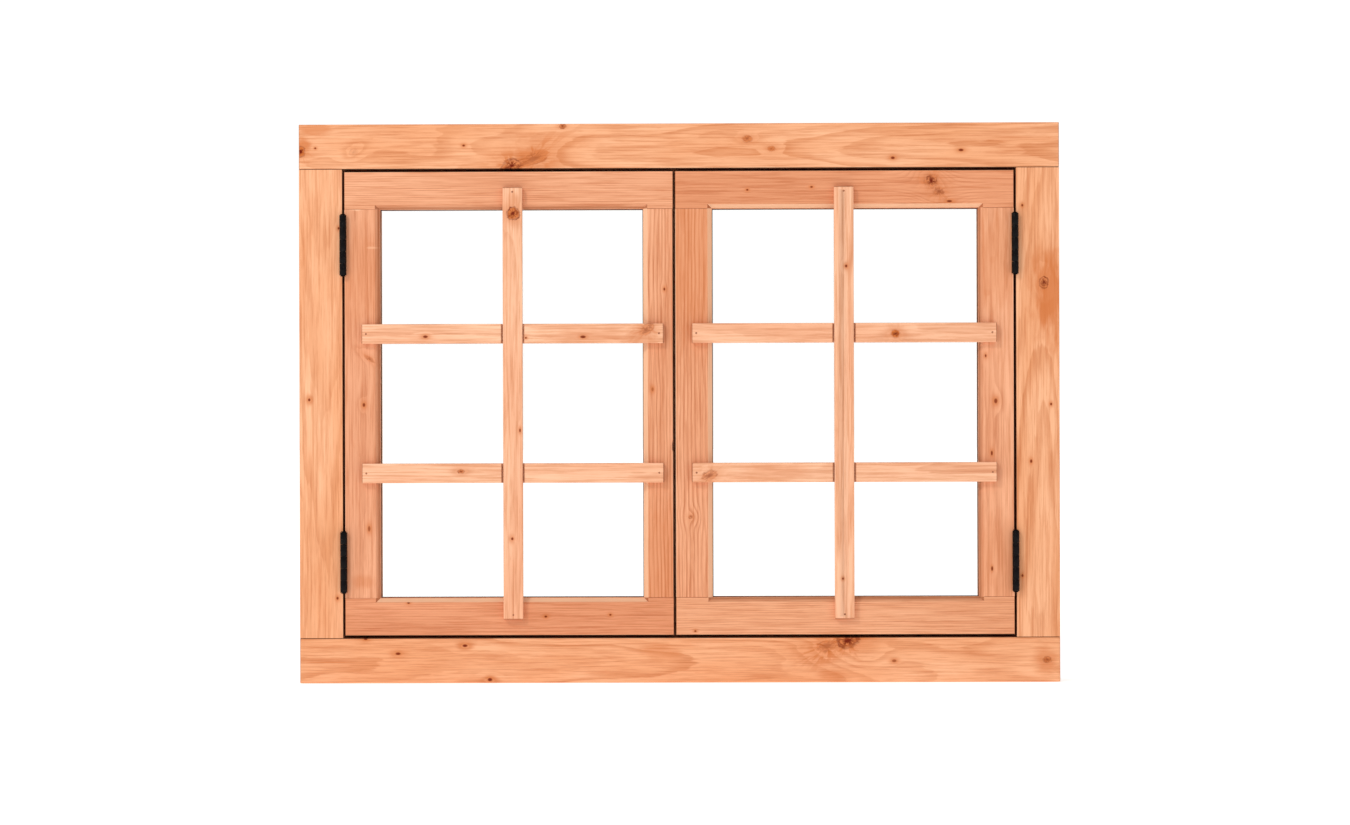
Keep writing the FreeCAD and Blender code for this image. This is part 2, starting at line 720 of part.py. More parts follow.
def build_frame_screws():
    """Two screws at each frame corner and one at each end of the centre post."""
    half_spread = s.frame_screw_spread / 2
    places = [(meeting_x, stop_middle)]
    for side in (LEFT, RIGHT):
        x = (half_width - s.jamb_face / 2) * side.sign
        places += [(x, half_spread), (x, -half_spread)]
    screws = []
    holes = []
    for end, height, toward in (("top", s.frame_height, "-z"), ("bottom", ZERO, "+z")):
        for index, (x, y) in enumerate(places):
            made, hole = screw(f"frame_screw_{end}_{index}", (x, y, height), toward,
                               s.frame_screw_length, s.frame_screw_radius, s.frame_screw_head)
            screws.append(made)
            holes.append(hole)
    keep("frame_screws", group("frame_screws", screws))
    return holes


def build_stops(frame_holes, keepers):
    """Four stop battens, their pins and the centre post; gives the pins' holes."""
    stop_y = (stop_front, back)
    across = (-jamb_inside, jamb_inside)
    low = sill_top + s.stop_width
    high = head_under - s.stop_width
    inset = s.stop_pin_inset
    pin_x = jamb_inside - inset
    stops = {
        "sill_stop": (across, (sill_top, low), "-z", [(-pin_x, low), (pin_x, low)]),
        "head_stop": (across, (high, head_under), "+z", [(-pin_x, high), (pin_x, high)]),
        "left_stop": ((-jamb_inside, -stop_inside), (low, high), "-x",
                      [(-stop_inside, low + inset), (-stop_inside, high - inset)]),
        "right_stop": ((stop_inside, jamb_inside), (low, high), "+x",
                       [(stop_inside, low + inset), (stop_inside, high - inset)]),
    }
    pins = []
    holes = []
    for name, (stop_x, stop_z, toward, places) in stops.items():
        tools = keepers[:] if name == "sill_stop" else []
        for index, (x, z) in enumerate(places):
            made, hole = nail(f"{name}_pin_{index}", (x, stop_middle, z), toward,
                              s.stop_pin_length, s.stop_pin_radius)
            pins.append(made)
            tools.append(hole)
            holes.append(hole)
        blank = box(f"{name}_blank", stop_x, stop_y, stop_z)
        keep(name, cut(name, blank, tools + frame_holes))
    keep("stop_pins", group("stop_pins", pins))
    keep("centre_post", cut("centre_post", box("centre_post_blank", post_x, stop_y, (low, high)),
                            frame_holes))
    return holes


def build_frame(jamb_tools, keepers):
    """Head, sill, jambs, stops and post, screwed and pinned together."""
    frame_holes = build_frame_screws()
    pin_holes = build_stops(frame_holes, keepers)
    frame_y = (front, back)
    full_x = (-half_width, half_width)
    shared = frame_holes + pin_holes
    members = {
        "head": (full_x, (head_under, s.frame_height), []),
        "sill": (full_x, (ZERO, sill_top), []),
        "left_jamb": ((-half_width, -jamb_inside), (sill_top, head_under), jamb_tools["left"]),
        "right_jamb": ((jamb_inside, half_width), (sill_top, head_under), jamb_tools["right"]),
    }
    for name, (member_x, member_z, tools) in members.items():
        blank = box(f"{name}_blank", member_x, frame_y, member_z)
        keep(name, cut(name, blank, shared + tools))


# ---------------------------------------------------------------- build, check and write

def build():
    """Build every sub-part of the window."""
    jamb_tools = {}
    keepers = []
    frame_leaf_screws = []
    pins = []
    for side in (LEFT, RIGHT):
        jamb_tools[side.name], stile_tools, from_jamb, from_stile, side_pins = build_hinges(side)
        frame_leaf_screws += from_jamb
        pins += side_pins
        keepers.append(build_sash(side, stile_tools, from_stile))
    keep("hinge_frame_screws", group("hinge_frame_screws", frame_leaf_screws))
    keep("hinge_pins", group("hinge_pins", pins))
    build_frame(jamb_tools, keepers)


def write():
    """Recompute, check every object and write one STEP file for each sub-part."""
    doc.recompute()
    for item in doc.Objects:
        if "Invalid" in item.State or "Error" in item.State:
            raise RuntimeError(f"{item.Name} failed: {item.State}")
    os.makedirs("parts", exist_ok=True)
    for name, item in nodes.items():
        shape = item.Shape
        if shape.isNull() or not shape.isValid() or not shape.Solids:
            raise RuntimeError(f"{name} has no valid solid")
        shape.exportStep(f"parts/{name}.step")
        print(f"{name}: {len(shape.Solids)} solids, {shape.Volume / 1000:.1f} cm3")
    print(f"{len(nodes)} nodes")


build()
write()
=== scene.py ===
"""A timber casement window: a frame, two glazed sashes that open outwards, grilles, hinges and bolts."""

import logging
import math
from collections.abc import Callable, Iterable
from dataclasses import dataclass, replace
from enum import Enum

import bmesh
import bpy
from mathutils import Matrix, Vector

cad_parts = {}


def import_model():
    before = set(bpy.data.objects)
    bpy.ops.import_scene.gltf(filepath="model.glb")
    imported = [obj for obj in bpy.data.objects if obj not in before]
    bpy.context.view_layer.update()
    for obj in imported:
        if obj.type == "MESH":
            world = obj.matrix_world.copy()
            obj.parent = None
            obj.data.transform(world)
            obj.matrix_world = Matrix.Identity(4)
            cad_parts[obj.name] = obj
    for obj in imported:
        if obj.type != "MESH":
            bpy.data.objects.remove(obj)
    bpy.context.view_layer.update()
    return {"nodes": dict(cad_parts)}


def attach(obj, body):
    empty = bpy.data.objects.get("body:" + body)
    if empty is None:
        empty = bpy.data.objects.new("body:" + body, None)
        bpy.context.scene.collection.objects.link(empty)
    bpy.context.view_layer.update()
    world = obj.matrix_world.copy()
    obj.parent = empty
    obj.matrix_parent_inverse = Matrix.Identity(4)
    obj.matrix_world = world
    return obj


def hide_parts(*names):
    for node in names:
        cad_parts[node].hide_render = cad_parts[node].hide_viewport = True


LOG = logging.getLogger("casement_window")
WELD = 1e-6  # corners nearer than this, in metres, are one
FLAT = math.radians(0.3)  # faces that turn by less than this are one
SHARP = math.radians(35)  # an edge that turns by more than this is shaded sharp
MM = 0.001
BROAD = 0.0012  # a face wider than this, in metres, is flat and not part of a curve
HOLE_FACET = 8e-6  # a smaller face, in square metres, lies in a screw hole
BEVEL_FACET = 2e-4  # a sloping front face larger than this is a worked bevel, given a painted highlight or painted shade
END_RUN = 0.25  # how squarely a face looks along the grain before it is end grain
GAP_SHADE_LOOK = 0.35  # how squarely a face looks into a gap before it gets painted shade
FLANK_LOOK = 0.3  # a face that looks to front or back by less than this is a flank
METAL_EDGE = 0.0002  # the shortest rim of a metal piece that is rounded, in metres
METAL_TURN = 55.0  # the least turn, in degrees, of a rim that is rounded
TIMBER_EDGE = 0.008  # the shortest arris that is eased, in metres
HEAD_STEPS = 24  # corners round a screw's or a nail's head

Colour = tuple[float, float, float]
Point = tuple[float, float, float]
Socket = bpy.types.NodeSocket
Value = Socket | float | tuple


# ---------------------------------------------------------------- wiring of materials


def tone(red: int, green: int, blue: int) -> Colour:
    """Turn a display colour into the linear colour that shaders take.

    Args:
        red, green, blue: display values from 0 to 255.

    Returns:
        The linear red, green and blue.
    """

    def linear(part: int) -> float:
        """One channel made linear."""
        share = part / 255
        return share / 12.92 if share <= 0.04045 else ((share + 0.055) / 1.055) ** 2.4

    return linear(red), linear(green), linear(blue)


class Wiring:
    """Adds nodes to one tree and joins them."""

    def __init__(self, tree: bpy.types.NodeTree) -> None:
        """Take the tree to work in."""
        self.tree = tree

    def feed(self, socket: Socket, value: Value) -> None:
        """Join a socket to a socket, or set it to a plain value.

        Args:
            socket: the input to feed.
            value: an output to join, or a number, vector or colour.
        """
        if isinstance(value, bpy.types.NodeSocket):
            self.tree.links.new(value, socket)
        elif socket.type == "RGBA" and len(value) == 3:
            socket.default_value = (*value, 1.0)
        else:
            socket.default_value = value

    def node(self, kind: str, inputs: dict[str | int, Value] | None = None,
             **settings: object) -> bpy.types.Node:
        """Add a node.

        Args:
            kind: the node's type.
            inputs: what feeds each input, by name or number.
            settings: the node's own properties.

        Returns:
            The node.
        """
        made = self.tree.nodes.new(kind)
        for name, value in settings.items():
            setattr(made, name, value)
        for key, value in (inputs or {}).items():
            self.feed(made.inputs[key], value)
        return made

    def math(self, operation: str, *values: Value, clamp: bool = False) -> Socket:
        """Add a Math node and return its result."""
        made = self.node("ShaderNodeMath", dict(enumerate(values)), operation=operation, use_clamp=clamp)
        return made.outputs[0]

    def vector(self, operation: str, *values: Value) -> Socket:
        """Add a Vector Math node and return its vector."""
        return self.node("ShaderNodeVectorMath", dict(enumerate(values)), operation=operation).outputs[0]

    def parts(self, vector: Value) -> tuple[Socket, Socket, Socket]:
        """Split a vector into its three parts."""
        return tuple(self.node("ShaderNodeSeparateXYZ", {0: vector}).outputs)

    def join(self, x: Value, y: Value, z: Value) -> Socket:
        """Make a vector of three parts."""
        return self.node("ShaderNodeCombineXYZ", {0: x, 1: y, 2: z}).outputs[0]

    def noise(self, vector: Socket, scale: float = 1.0, detail: float = 2.0,
              rough: float = 0.5) -> bpy.types.Node:
        """Add a Noise texture, with Fac as its output 0 and Color as its output 1."""
        fields = {"Vector": vector, "Scale": scale, "Detail": detail, "Roughness": rough}
        return self.node("ShaderNodeTexNoise", fields)

    def spread(self, value: Value, low: float, high: float, first: float = 0.0, last: float = 1.0) -> Socket:
        """Map a value smoothly from one range to another.

        Args:
            value: what to map.
            low, high: the range that it comes from.
            first, last: the range that it goes to.

        Returns:
            The mapped value.
        """
        fields = {"Value": value, "From Min": low, "From Max": high, "To Min": first, "To Max": last}
        return self.node("ShaderNodeMapRange", fields, interpolation_type="SMOOTHSTEP").outputs[0]

    def mix(self, share: Value, first: Value, second: Value, blend: str = "MIX") -> Socket:
        """Mix two colours.

        Args:
            share: how much of the second there is.
            first, second: the colours.
            blend: how they mix.

        Returns:
            The mixed colour.
        """
        made = self.node("ShaderNodeMix", data_type="RGBA", blend_type=blend, clamp_factor=True)
        self.feed(made.inputs[0], share)
        self.feed(made.inputs[6], first)
        self.feed(made.inputs[7], second)
        return made.outputs[2]

    def surface(self, inputs: dict[str, Value]) -> None:
        """End a material in a Principled shader, fed by name."""
        shader = self.node("ShaderNodeBsdfPrincipled", inputs)
        self.node("ShaderNodeOutputMaterial", {0: shader.outputs[0]})

    def place(self, group: bpy.types.NodeTree, inputs: dict[str, Value]) -> bpy.types.Node:
        """Place a shared group and feed it."""
        made = self.node("ShaderNodeGroup", node_tree=group)
        for key, value in inputs.items():
            self.feed(made.inputs[key], value)
        return made


def new_material(name: str) -> tuple[bpy.types.Material, Wiring, Socket]:
    """Start a material.

    Args:
        name: the material's name.

    Returns:
        The material, its wiring, and the piece's own coordinates.
    """
    made = bpy.data.materials.new(name)
    made.use_nodes = True
    made.node_tree.nodes.clear()
    wiring = Wiring(made.node_tree)
    return made, wiring, wiring.node("ShaderNodeTexCoord").outputs["Object"]


def new_group(name: str, inputs: dict[str, str],
              outputs: Iterable[str]) -> tuple[Wiring, dict[str, Socket], bpy.types.Node]:
    """Start a shader node group.

    Args:
        name: the group's name.
        inputs: each input's name and socket type.
        outputs: the names of the float outputs.

    Returns:
        Its wiring, its inputs inside by name, and its output node.
    """
    tree = bpy.data.node_groups.new(name, "ShaderNodeTree")
    for label, kind in inputs.items():
        tree.interface.new_socket(label, in_out="INPUT", socket_type=kind)
    for label in outputs:
        tree.interface.new_socket(label, in_out="OUTPUT", socket_type="NodeSocketFloat")
    wiring = Wiring(tree)
    start = wiring.node("NodeGroupInput")
    return wiring, {label: start.outputs[label] for label in inputs}, wiring.node("NodeGroupOutput")


class SharedGroups:
    """The effects that several finishes share, each built once."""

    NUMBER = "NodeSocketFloat"
    POINT = "NodeSocketVector"

    def __init__(self) -> None:
        """Build every group."""
        self.knot = self._knot()
        self.pin_knot = self._pin_knot()
        self.stain = self._stain()
        self.rings = self._rings()
        self.fibre = self._fibre()
        self.speckle = self._speckle()

    def _knot(self) -> bpy.types.NodeTree:
        """A knot: its dark strokes, its brown body, and how the grain swings round it."""
        numbers = ("Size", "Stretch", "Turn", "Flow", "Loops", "Heart", "Body", "Rim", "Fan",
                   "Shift", "Turns", "Dark", "Brown")
        fields = {"Place": self.POINT, "Centre": self.POINT, **dict.fromkeys(numbers, self.NUMBER)}
        w, given, out = new_group("knot", fields, ("Shift", "Turns", "Dark", "Brown"))
        away = w.vector("SUBTRACT", given["Place"], given["Centre"])
        _, _, level_across = w.parts(away)
        turned = w.node("ShaderNodeVectorRotate", {"Vector": away, "Angle": given["Turn"]},
                        rotation_type="Y_AXIS")
        along, _, across = w.parts(turned.outputs[0])
        u = w.math("DIVIDE", along, w.math("MULTIPLY", given["Size"], given["Stretch"]))
        v = w.math("DIVIDE", across, given["Size"])
        uu = w.math("MULTIPLY", u, u)
        vv = w.math("MULTIPLY", v, v)
        reach = w.math("SQRT", w.math("ADD", uu, vv))
        offset = w.vector("MULTIPLY", given["Centre"], (900.0, 900.0, 900.0))
        own = w.vector("ADD", w.join(u, v, 0.0), offset)
        ragged = w.math("SUBTRACT", w.noise(own, 1.3, 4.0, 0.6).outputs[0], 0.5)
        edge = w.math("MULTIPLY_ADD", ragged, 1.1, reach)
        facing = w.vector("NORMALIZE", w.join(u, v, 0.0))
        facing_u, facing_v, _ = w.parts(facing)

        def strokes(round_it: float, outward: float, low: float, high: float) -> Socket:
            """Broken strokes, so many to the turn and to the knot's size."""
            spot = w.join(w.math("MULTIPLY", facing_u, round_it), w.math("MULTIPLY", facing_v, round_it),
                          w.math("MULTIPLY", edge, outward))
            return w.spread(w.noise(w.vector("ADD", spot, offset), 1.0, 3.0, 0.6).outputs[0], low, high)

        def bell(along_reach: float, across_reach: float) -> Socket:
            """A bell over the knot, so many sizes long and wide."""
            far = w.math("ADD", w.math("DIVIDE", uu, along_reach**2), w.math("DIVIDE", vv, across_reach**2))
            return w.math("EXPONENT", w.math("MULTIPLY", far, -1.0))

        arcs = strokes(0.7, 2.9, 0.47, 0.62)
        rays = strokes(2.7, 0.5, 0.46, 0.62)
        within = w.spread(edge, 1.15, 0.80)
        rim = w.math("MULTIPLY", w.spread(edge, 1.24, 1.02), w.spread(edge, 0.80, 0.98))
        rim = w.math("MULTIPLY", rim, w.math("MULTIPLY_ADD", arcs, 0.5, 0.5))
        rim = w.math("MULTIPLY", rim, given["Rim"])
        cracks = w.math("MULTIPLY", rays, w.spread(reach, 1.10, 0.35, 0.0, 0.9))
        lines = w.math("MULTIPLY", w.math("MULTIPLY", arcs, within), 0.7)
        core = w.math("MAXIMUM", cracks, w.spread(edge, 0.55, 0.14))
        dark = w.math("MAXIMUM", w.math("MAXIMUM", lines, rim), core)
        w.feed(out.inputs["Dark"], w.math("MAXIMUM", given["Dark"], w.math("MULTIPLY", dark, given["Heart"])))
        fan = w.math("MULTIPLY", w.math("MULTIPLY_ADD", rays, 0.65, 0.35), bell(2.4, 2.4))
        fan = w.math("MULTIPLY", fan, given["Fan"])
        body = w.math("MAXIMUM", within, w.math("MULTIPLY", bell(2.1, 1.7), 0.62))
        brown = w.math("MAXIMUM", fan, w.math("MULTIPLY", body, given["Body"]))
        w.feed(out.inputs["Brown"], w.math("MAXIMUM", given["Brown"], brown))
        swing = w.math("MULTIPLY", w.math("MULTIPLY", level_across, bell(4.5, 3.2)), given["Flow"])
        w.feed(out.inputs["Shift"], w.math("SUBTRACT", given["Shift"], swing))
        lift = w.math("MULTIPLY", bell(3.6, 2.3), given["Loops"])
        w.feed(out.inputs["Turns"], w.math("ADD", given["Turns"], lift))
        return w.tree

    def _pin_knot(self) -> bpy.types.NodeTree:
        """A small knot, or a bare swirl of the grain."""
        numbers = ("Size", "Stretch", "Flow", "Loops", "Heart", "Body", "Shift", "Turns", "Dark", "Brown")
        fields = {"Place": self.POINT, "Centre": self.POINT, **dict.fromkeys(numbers, self.NUMBER)}
        w, given, out = new_group("pin_knot", fields, ("Shift", "Turns", "Dark", "Brown"))
        along, _, across = w.parts(w.vector("SUBTRACT", given["Place"], given["Centre"]))
        u = w.math("DIVIDE", along, w.math("MULTIPLY", given["Size"], given["Stretch"]))
        v = w.math("DIVIDE", across, given["Size"])
        far = w.math("MULTIPLY_ADD", u, u, w.math("MULTIPLY", v, v))
        near = w.math("EXPONENT", w.math("MULTIPLY", far, -0.25))
        wide = w.math("EXPONENT", w.math("MULTIPLY", far, -0.07))
        dark = w.math("MULTIPLY", w.spread(far, 1.1, 0.2), given["Heart"])
        w.feed(out.inputs["Dark"], w.math("MAXIMUM", given["Dark"], dark))
        brown = w.math("MULTIPLY", near, given["Body"])
        w.feed(out.inputs["Brown"], w.math("MAXIMUM", given["Brown"], brown))
        swing = w.math("MULTIPLY", w.math("MULTIPLY", across, wide), given["Flow"])
        w.feed(out.inputs["Shift"], w.math("SUBTRACT", given["Shift"], swing))
        w.feed(out.inputs["Turns"], w.math("MULTIPLY_ADD", wide, given["Loops"], given["Turns"]))
        return w.tree

    def _stain(self) -> bpy.types.NodeTree:
        """A soft patch with a broken edge."""
        fields = {"Place": self.POINT, "Centre": self.POINT, "Half": self.POINT, "Depth": self.NUMBER,
                  "Mask": self.NUMBER}
        w, given, out = new_group("stain", fields, ("Mask",))
        away = w.vector("DIVIDE", w.vector("SUBTRACT", given["Place"], given["Centre"]), given["Half"])
        along, _, across = w.parts(away)
        squares = w.math("ADD", w.math("MULTIPLY", along, along), w.math("MULTIPLY", across, across))
        far = w.math("SQRT", squares)
        streaked = w.noise(w.vector("MULTIPLY", given["Place"], (45.0, 160.0, 160.0)), 1.0, 3.0).outputs[0]
        far = w.math("ADD", far, w.math("MULTIPLY", w.math("SUBTRACT", streaked, 0.5), 1.1))
        patch = w.math("MULTIPLY", w.spread(far, 1.15, 0.35), given["Depth"])
        w.feed(out.inputs["Mask"], w.math("MAXIMUM", given["Mask"], patch))
        return w.tree

    def _rings(self) -> bpy.types.NodeTree:
        """Growth rings round a pith that runs nearly along the board."""
        fields = {"Place": self.POINT, "Shift": self.NUMBER, "Turns": self.NUMBER, "Pith": self.POINT,
                  "Tilt": self.NUMBER, "Spacing": self.NUMBER, "Wander": self.NUMBER, "Seed": self.POINT}
        w, given, out = new_group("growth_rings", fields, ("Late",))
        along, depth, across = w.parts(given["Place"])
        seeded = w.vector("ADD", given["Place"], given["Seed"])
        slow = w.noise(w.vector("MULTIPLY", seeded, (3.4, 14.0, 14.0)), 1.0, 2.0).outputs[1]
        sway_one, sway_two, _ = w.parts(w.vector("SUBTRACT", slow, (0.5, 0.5, 0.5)))
        _, pith_depth, pith_across = w.parts(given["Pith"])
        side = w.math("SUBTRACT", w.math("ADD", across, given["Shift"]), pith_across)
        side = w.math("ADD", side, w.math("MULTIPLY", sway_one, given["Wander"]))
        deep = w.math("SUBTRACT", w.math("ADD", depth, w.math("MULTIPLY", along, given["Tilt"])), pith_depth)
        deep = w.math("ADD", deep, w.math("MULTIPLY", sway_two, given["Wander"]))
        radius = w.math("SQRT", w.math("ADD", w.math("MULTIPLY", side, side), w.math("MULTIPLY", deep, deep)))
        fine = w.noise(w.vector("MULTIPLY", seeded, (14.0, 120.0, 120.0)), 1.0, 3.0, 0.6).outputs[0]
        ring = w.math("ADD", w.math("DIVIDE", radius, given["Spacing"]), given["Turns"])
        ring = w.math("ADD", ring, w.math("MULTIPLY", w.math("SUBTRACT", fine, 0.5), 0.75))
        year = w.node("ShaderNodeTexWhiteNoise", noise_dimensions="1D")
        w.feed(year.inputs["W"], w.math("FLOOR", ring))
        share = w.math("FRACT", ring)
        rise = w.spread(share, 0.36, 0.86)
        fall = w.spread(share, 1.0, 0.93)
        strength = w.math("MULTIPLY_ADD", year.outputs["Value"], 0.6, 0.4)
        w.feed(out.inputs["Late"], w.math("MULTIPLY", w.math("MULTIPLY", rise, fall), strength))
        return w.tree

    def _fibre(self) -> bpy.types.NodeTree:
        """Fine fibres, short resin flecks and broad changes of tone."""
        fields = {"Place": self.POINT, "Seed": self.POINT}
        w, given, out = new_group("fibre", fields, ("Fibre", "Fleck", "Broad"))
        seeded = w.vector("ADD", given["Place"], given["Seed"])
        thin = w.noise(w.vector("MULTIPLY", seeded, (15.0, 480.0, 480.0)), 1.0, 4.0, 0.68).outputs[0]
        w.feed(out.inputs["Fibre"], thin)
        dash = w.noise(w.vector("MULTIPLY", seeded, (70.0, 620.0, 620.0)), 1.0, 1.0).outputs[0]
        w.feed(out.inputs["Fleck"], w.spread(dash, 0.70, 0.80))
        broad = w.noise(w.vector("MULTIPLY", seeded, (5.0, 22.0, 22.0)), 1.0, 3.0, 0.55).outputs[0]
        w.feed(out.inputs["Broad"], w.spread(broad, 0.30, 0.70))
        return w.tree

    def _speckle(self) -> bpy.types.NodeTree:
        """Small rubbed spots and slow patches, for metal and rubber."""
        fields = {"Place": self.POINT, "Scale": self.NUMBER}
        w, given, out = new_group("speckle", fields, ("Rubbed", "Patch", "Grit"))
        scaled = w.vector("SCALE", given["Place"])
        w.feed(scaled.node.inputs["Scale"], given["Scale"])
        w.feed(out.inputs["Rubbed"], w.spread(w.noise(scaled, 1.0, 4.0, 0.65).outputs[0], 0.56, 0.70))
        w.feed(out.inputs["Patch"], w.noise(scaled, 0.3, 2.0).outputs[0])
        w.feed(out.inputs["Grit"], w.noise(scaled, 6.0, 2.0).outputs[0])
        return w.tree


# ---------------------------------------------------------------- finishes


class Grain(Enum):
    """Which way a timber member's fibres run, as the turn that brings them along X."""

    LEVEL = (0.0, 0.0, 0.0)
    UPRIGHT = (0.0, math.pi / 2, 0.0)

    def spot(self, x: float, z: float) -> Point:
        """A point on the front, given in millimetres, in the member's own turned coordinates."""
        if self is Grain.LEVEL:
            return x * MM, 0.0, z * MM
        return z * MM, 0.0, -x * MM


class Surface(Enum):
    """The kinds of face that a timber member has.

    SIDE looks to front or back, END is cut across the grain, the two bevel kinds carry a painted highlight
    and painted shade, the gap kind carries painted shade on faces that look into a gap, and FLANK is a
    lengthwise side, where knots soon die away.
    """

    SIDE = 0
    END = 1
    # a bevel with a painted highlight
    PAINTED_HIGHLIGHT = 2
    # a bevel with painted shade, darker towards the opening
    DARK = 3
    # a face that looks into a gap, with near-black painted shade along its front
    EDGE = 4
    FLANK = 5


@dataclass(frozen=True)
class Knot:
    """A knot, placed in millimetres as x and z on the front."""

    x: float
    z: float
    size: float = 2.5
    stretch: float = 1.3
    flow: float = 0.8
    loops: float = 0.0
    heart: float = 0.9
    fan: float = 0.0
    turn: float = 0.0
    body: float = 0.8
    rim: float = 0.7

    @property
    def plain(self) -> bool:
        """Whether it is too small, or too faint, to show strokes."""
        return self.size < 2.5 or self.heart == 0.0


@dataclass(frozen=True)
class Stain:
    """A darker patch, placed in millimetres, with half its length along the grain and half its width."""

    x: float
    z: float
    long: float
    wide: float
    depth: float = 0.5


@dataclass(frozen=True)
class TimberFinish:
    """One board: its tones, how it was cut from the log, and its marks."""

    name: str
    grain: Grain
    early: Colour
    late: Colour
    deep: Colour
    pith: tuple[float, float] = (0.05, 0.0)
    tilt: float = 0.02
    spacing: float = 0.0032
    wander: float = 0.012
    contrast: float = 0.5
    seed: float = 0.0
    knots: tuple[Knot, ...] = ()
    stains: tuple[Stain, ...] = ()
    patches: tuple[Stain, ...] = ()
    brown: Colour = tone(204, 112, 54)
    heart: Colour = (0.26, 0.07, 0.02)
    # near-black painted shade for faces that look into a gap
    edge: Colour = tone(22, 6, 3)
    # painted shade for bevels on the side away from the light
    shaded: Colour = tone(158, 90, 54)
    # the tone of real pale filler patches, and also the painted highlight on bevels that face the light
    painted_highlight: Colour = tone(252, 204, 166)
    dark: Colour = tone(150, 80, 44)
    drawn: Colour = (0.66, 0.42, 0.26)
    coarse: float = 0.56

    def material(self, groups: SharedGroups, surface: Surface) -> bpy.types.Material:
        """Make the board's material for one kind of face.

        Args:
            groups: the shared effects.
            surface: the kind of face.

        Returns:
            The material.
        """
        made, w, where = new_material(f"{self.name}_{surface.name.lower()}")
        turned = w.node("ShaderNodeMapping", {"Vector": where, "Rotation": self.grain.value}).outputs[0]
        _, depth, _ = w.parts(turned)
        seed = (self.seed, self.seed * 0.37, self.seed * 0.71)

        swing: dict[str, Value] = {"Shift": 0.0, "Turns": 0.0, "Dark": 0.0, "Brown": 0.0}
        for knot in self.knots:
            fields = {"Place": turned, "Centre": self.grain.spot(knot.x, knot.z), "Size": knot.size * MM,
                      "Stretch": knot.stretch, "Flow": knot.flow, "Loops": knot.loops, "Heart": knot.heart,
                      "Body": knot.body, **swing}
            if not knot.plain:
                fields |= {"Turn": math.radians(knot.turn), "Rim": knot.rim, "Fan": knot.fan}
            placed = w.place(groups.pin_knot if knot.plain else groups.knot, fields)
            swing = {key: placed.outputs[key] for key in swing}
        mask = self.patchwork(w, groups, turned, self.stains)

        pith = (0.0, self.pith[0], self.pith[1])
        rings = w.place(groups.rings, {
            "Place": turned, "Shift": swing["Shift"], "Turns": swing["Turns"], "Pith": pith,
            "Tilt": self.tilt, "Spacing": self.spacing, "Wander": self.wander, "Seed": seed})
        fibre = w.place(groups.fibre, {"Place": turned, "Seed": seed})

        colour = w.mix(w.math("MULTIPLY", fibre.outputs["Broad"], 0.8), self.early, self.deep)
        late = w.math("MULTIPLY", rings.outputs["Late"], self.contrast, clamp=True)
        colour = w.mix(late, colour, self.late)
        coarse = w.spread(fibre.outputs["Fibre"], 0.60, 0.32, 0.0, self.coarse)
        colour = w.mix(coarse, colour, w.mix(1.0, colour, self.drawn, "MULTIPLY"))
        colour = w.mix(w.math("MULTIPLY", fibre.outputs["Fleck"], 0.22), colour, self.brown)
        cut_across = surface is Surface.END
        brown, dark = w.math("MAXIMUM", swing["Brown"], mask), swing["Dark"]
        if surface is Surface.FLANK:
            shallow = w.spread(depth, -0.0255, -0.0340)
            brown, dark = w.math("MULTIPLY", brown, shallow), w.math("MULTIPLY", dark, shallow)
        if (self.knots or self.stains) and not cut_across:
            colour = w.mix(brown, colour, self.brown)
        if self.knots and not cut_across:
            colour = w.mix(dark, colour, w.mix(1.0, colour, self.heart, "MULTIPLY"))
        if self.patches:
            colour = w.mix(self.patchwork(w, groups, turned, self.patches), colour, self.painted_highlight)
        # Painted highlight: a bevel on the lit side is lightened towards the pale tone.
        if surface is Surface.PAINTED_HIGHLIGHT:
            colour = w.mix(0.62, colour, self.painted_highlight)
        # Painted shade: a bevel on the shaded side darkens the deeper it lies, towards the opening.
        elif surface is Surface.DARK:
            colour = w.mix(w.spread(depth, -0.0340, -0.0300, 0.06, 0.68), colour, self.shaded)
        # Painted shade in gaps: a face that looks into a gap goes near black over its front few millimetres.
        elif surface is Surface.EDGE:
            colour = w.mix(w.spread(depth, -0.0300, -0.0338, 0.10, 0.94), colour, self.edge)
        elif surface is Surface.END:
            colour = w.mix(0.62, colour, self.dark)

        bump = w.node("ShaderNodeBump", {
            "Strength": 0.35, "Distance": 0.0003, "Height": fibre.outputs["Fibre"]})
        matt = w.spread(fibre.outputs["Fibre"], 0.2, 0.8, 0.56, 0.72)
        w.surface({
            "Base Color": colour, "Roughness": matt, "Normal": bump.outputs[0], "Specular IOR Level": 0.12})
        return made

    def patchwork(self, w: Wiring, groups: SharedGroups, place: Socket, marks: Iterable[Stain]) -> Value:
        """Lay soft patches over one another.

        Args:
            w: the material's wiring.
            groups: the shared effects.
            place: the board's turned coordinates.
            marks: the patches.

        Returns:
            How strongly they show at each point.
        """
        mask: Value = 0.0
        for mark in marks:
            fields = {"Place": place, "Centre": self.grain.spot(mark.x, mark.z), "Depth": mark.depth,
                      "Half": (mark.long * MM, 1.0, mark.wide * MM), "Mask": mask}
            mask = w.place(groups.stain, fields).outputs["Mask"]
        return mask


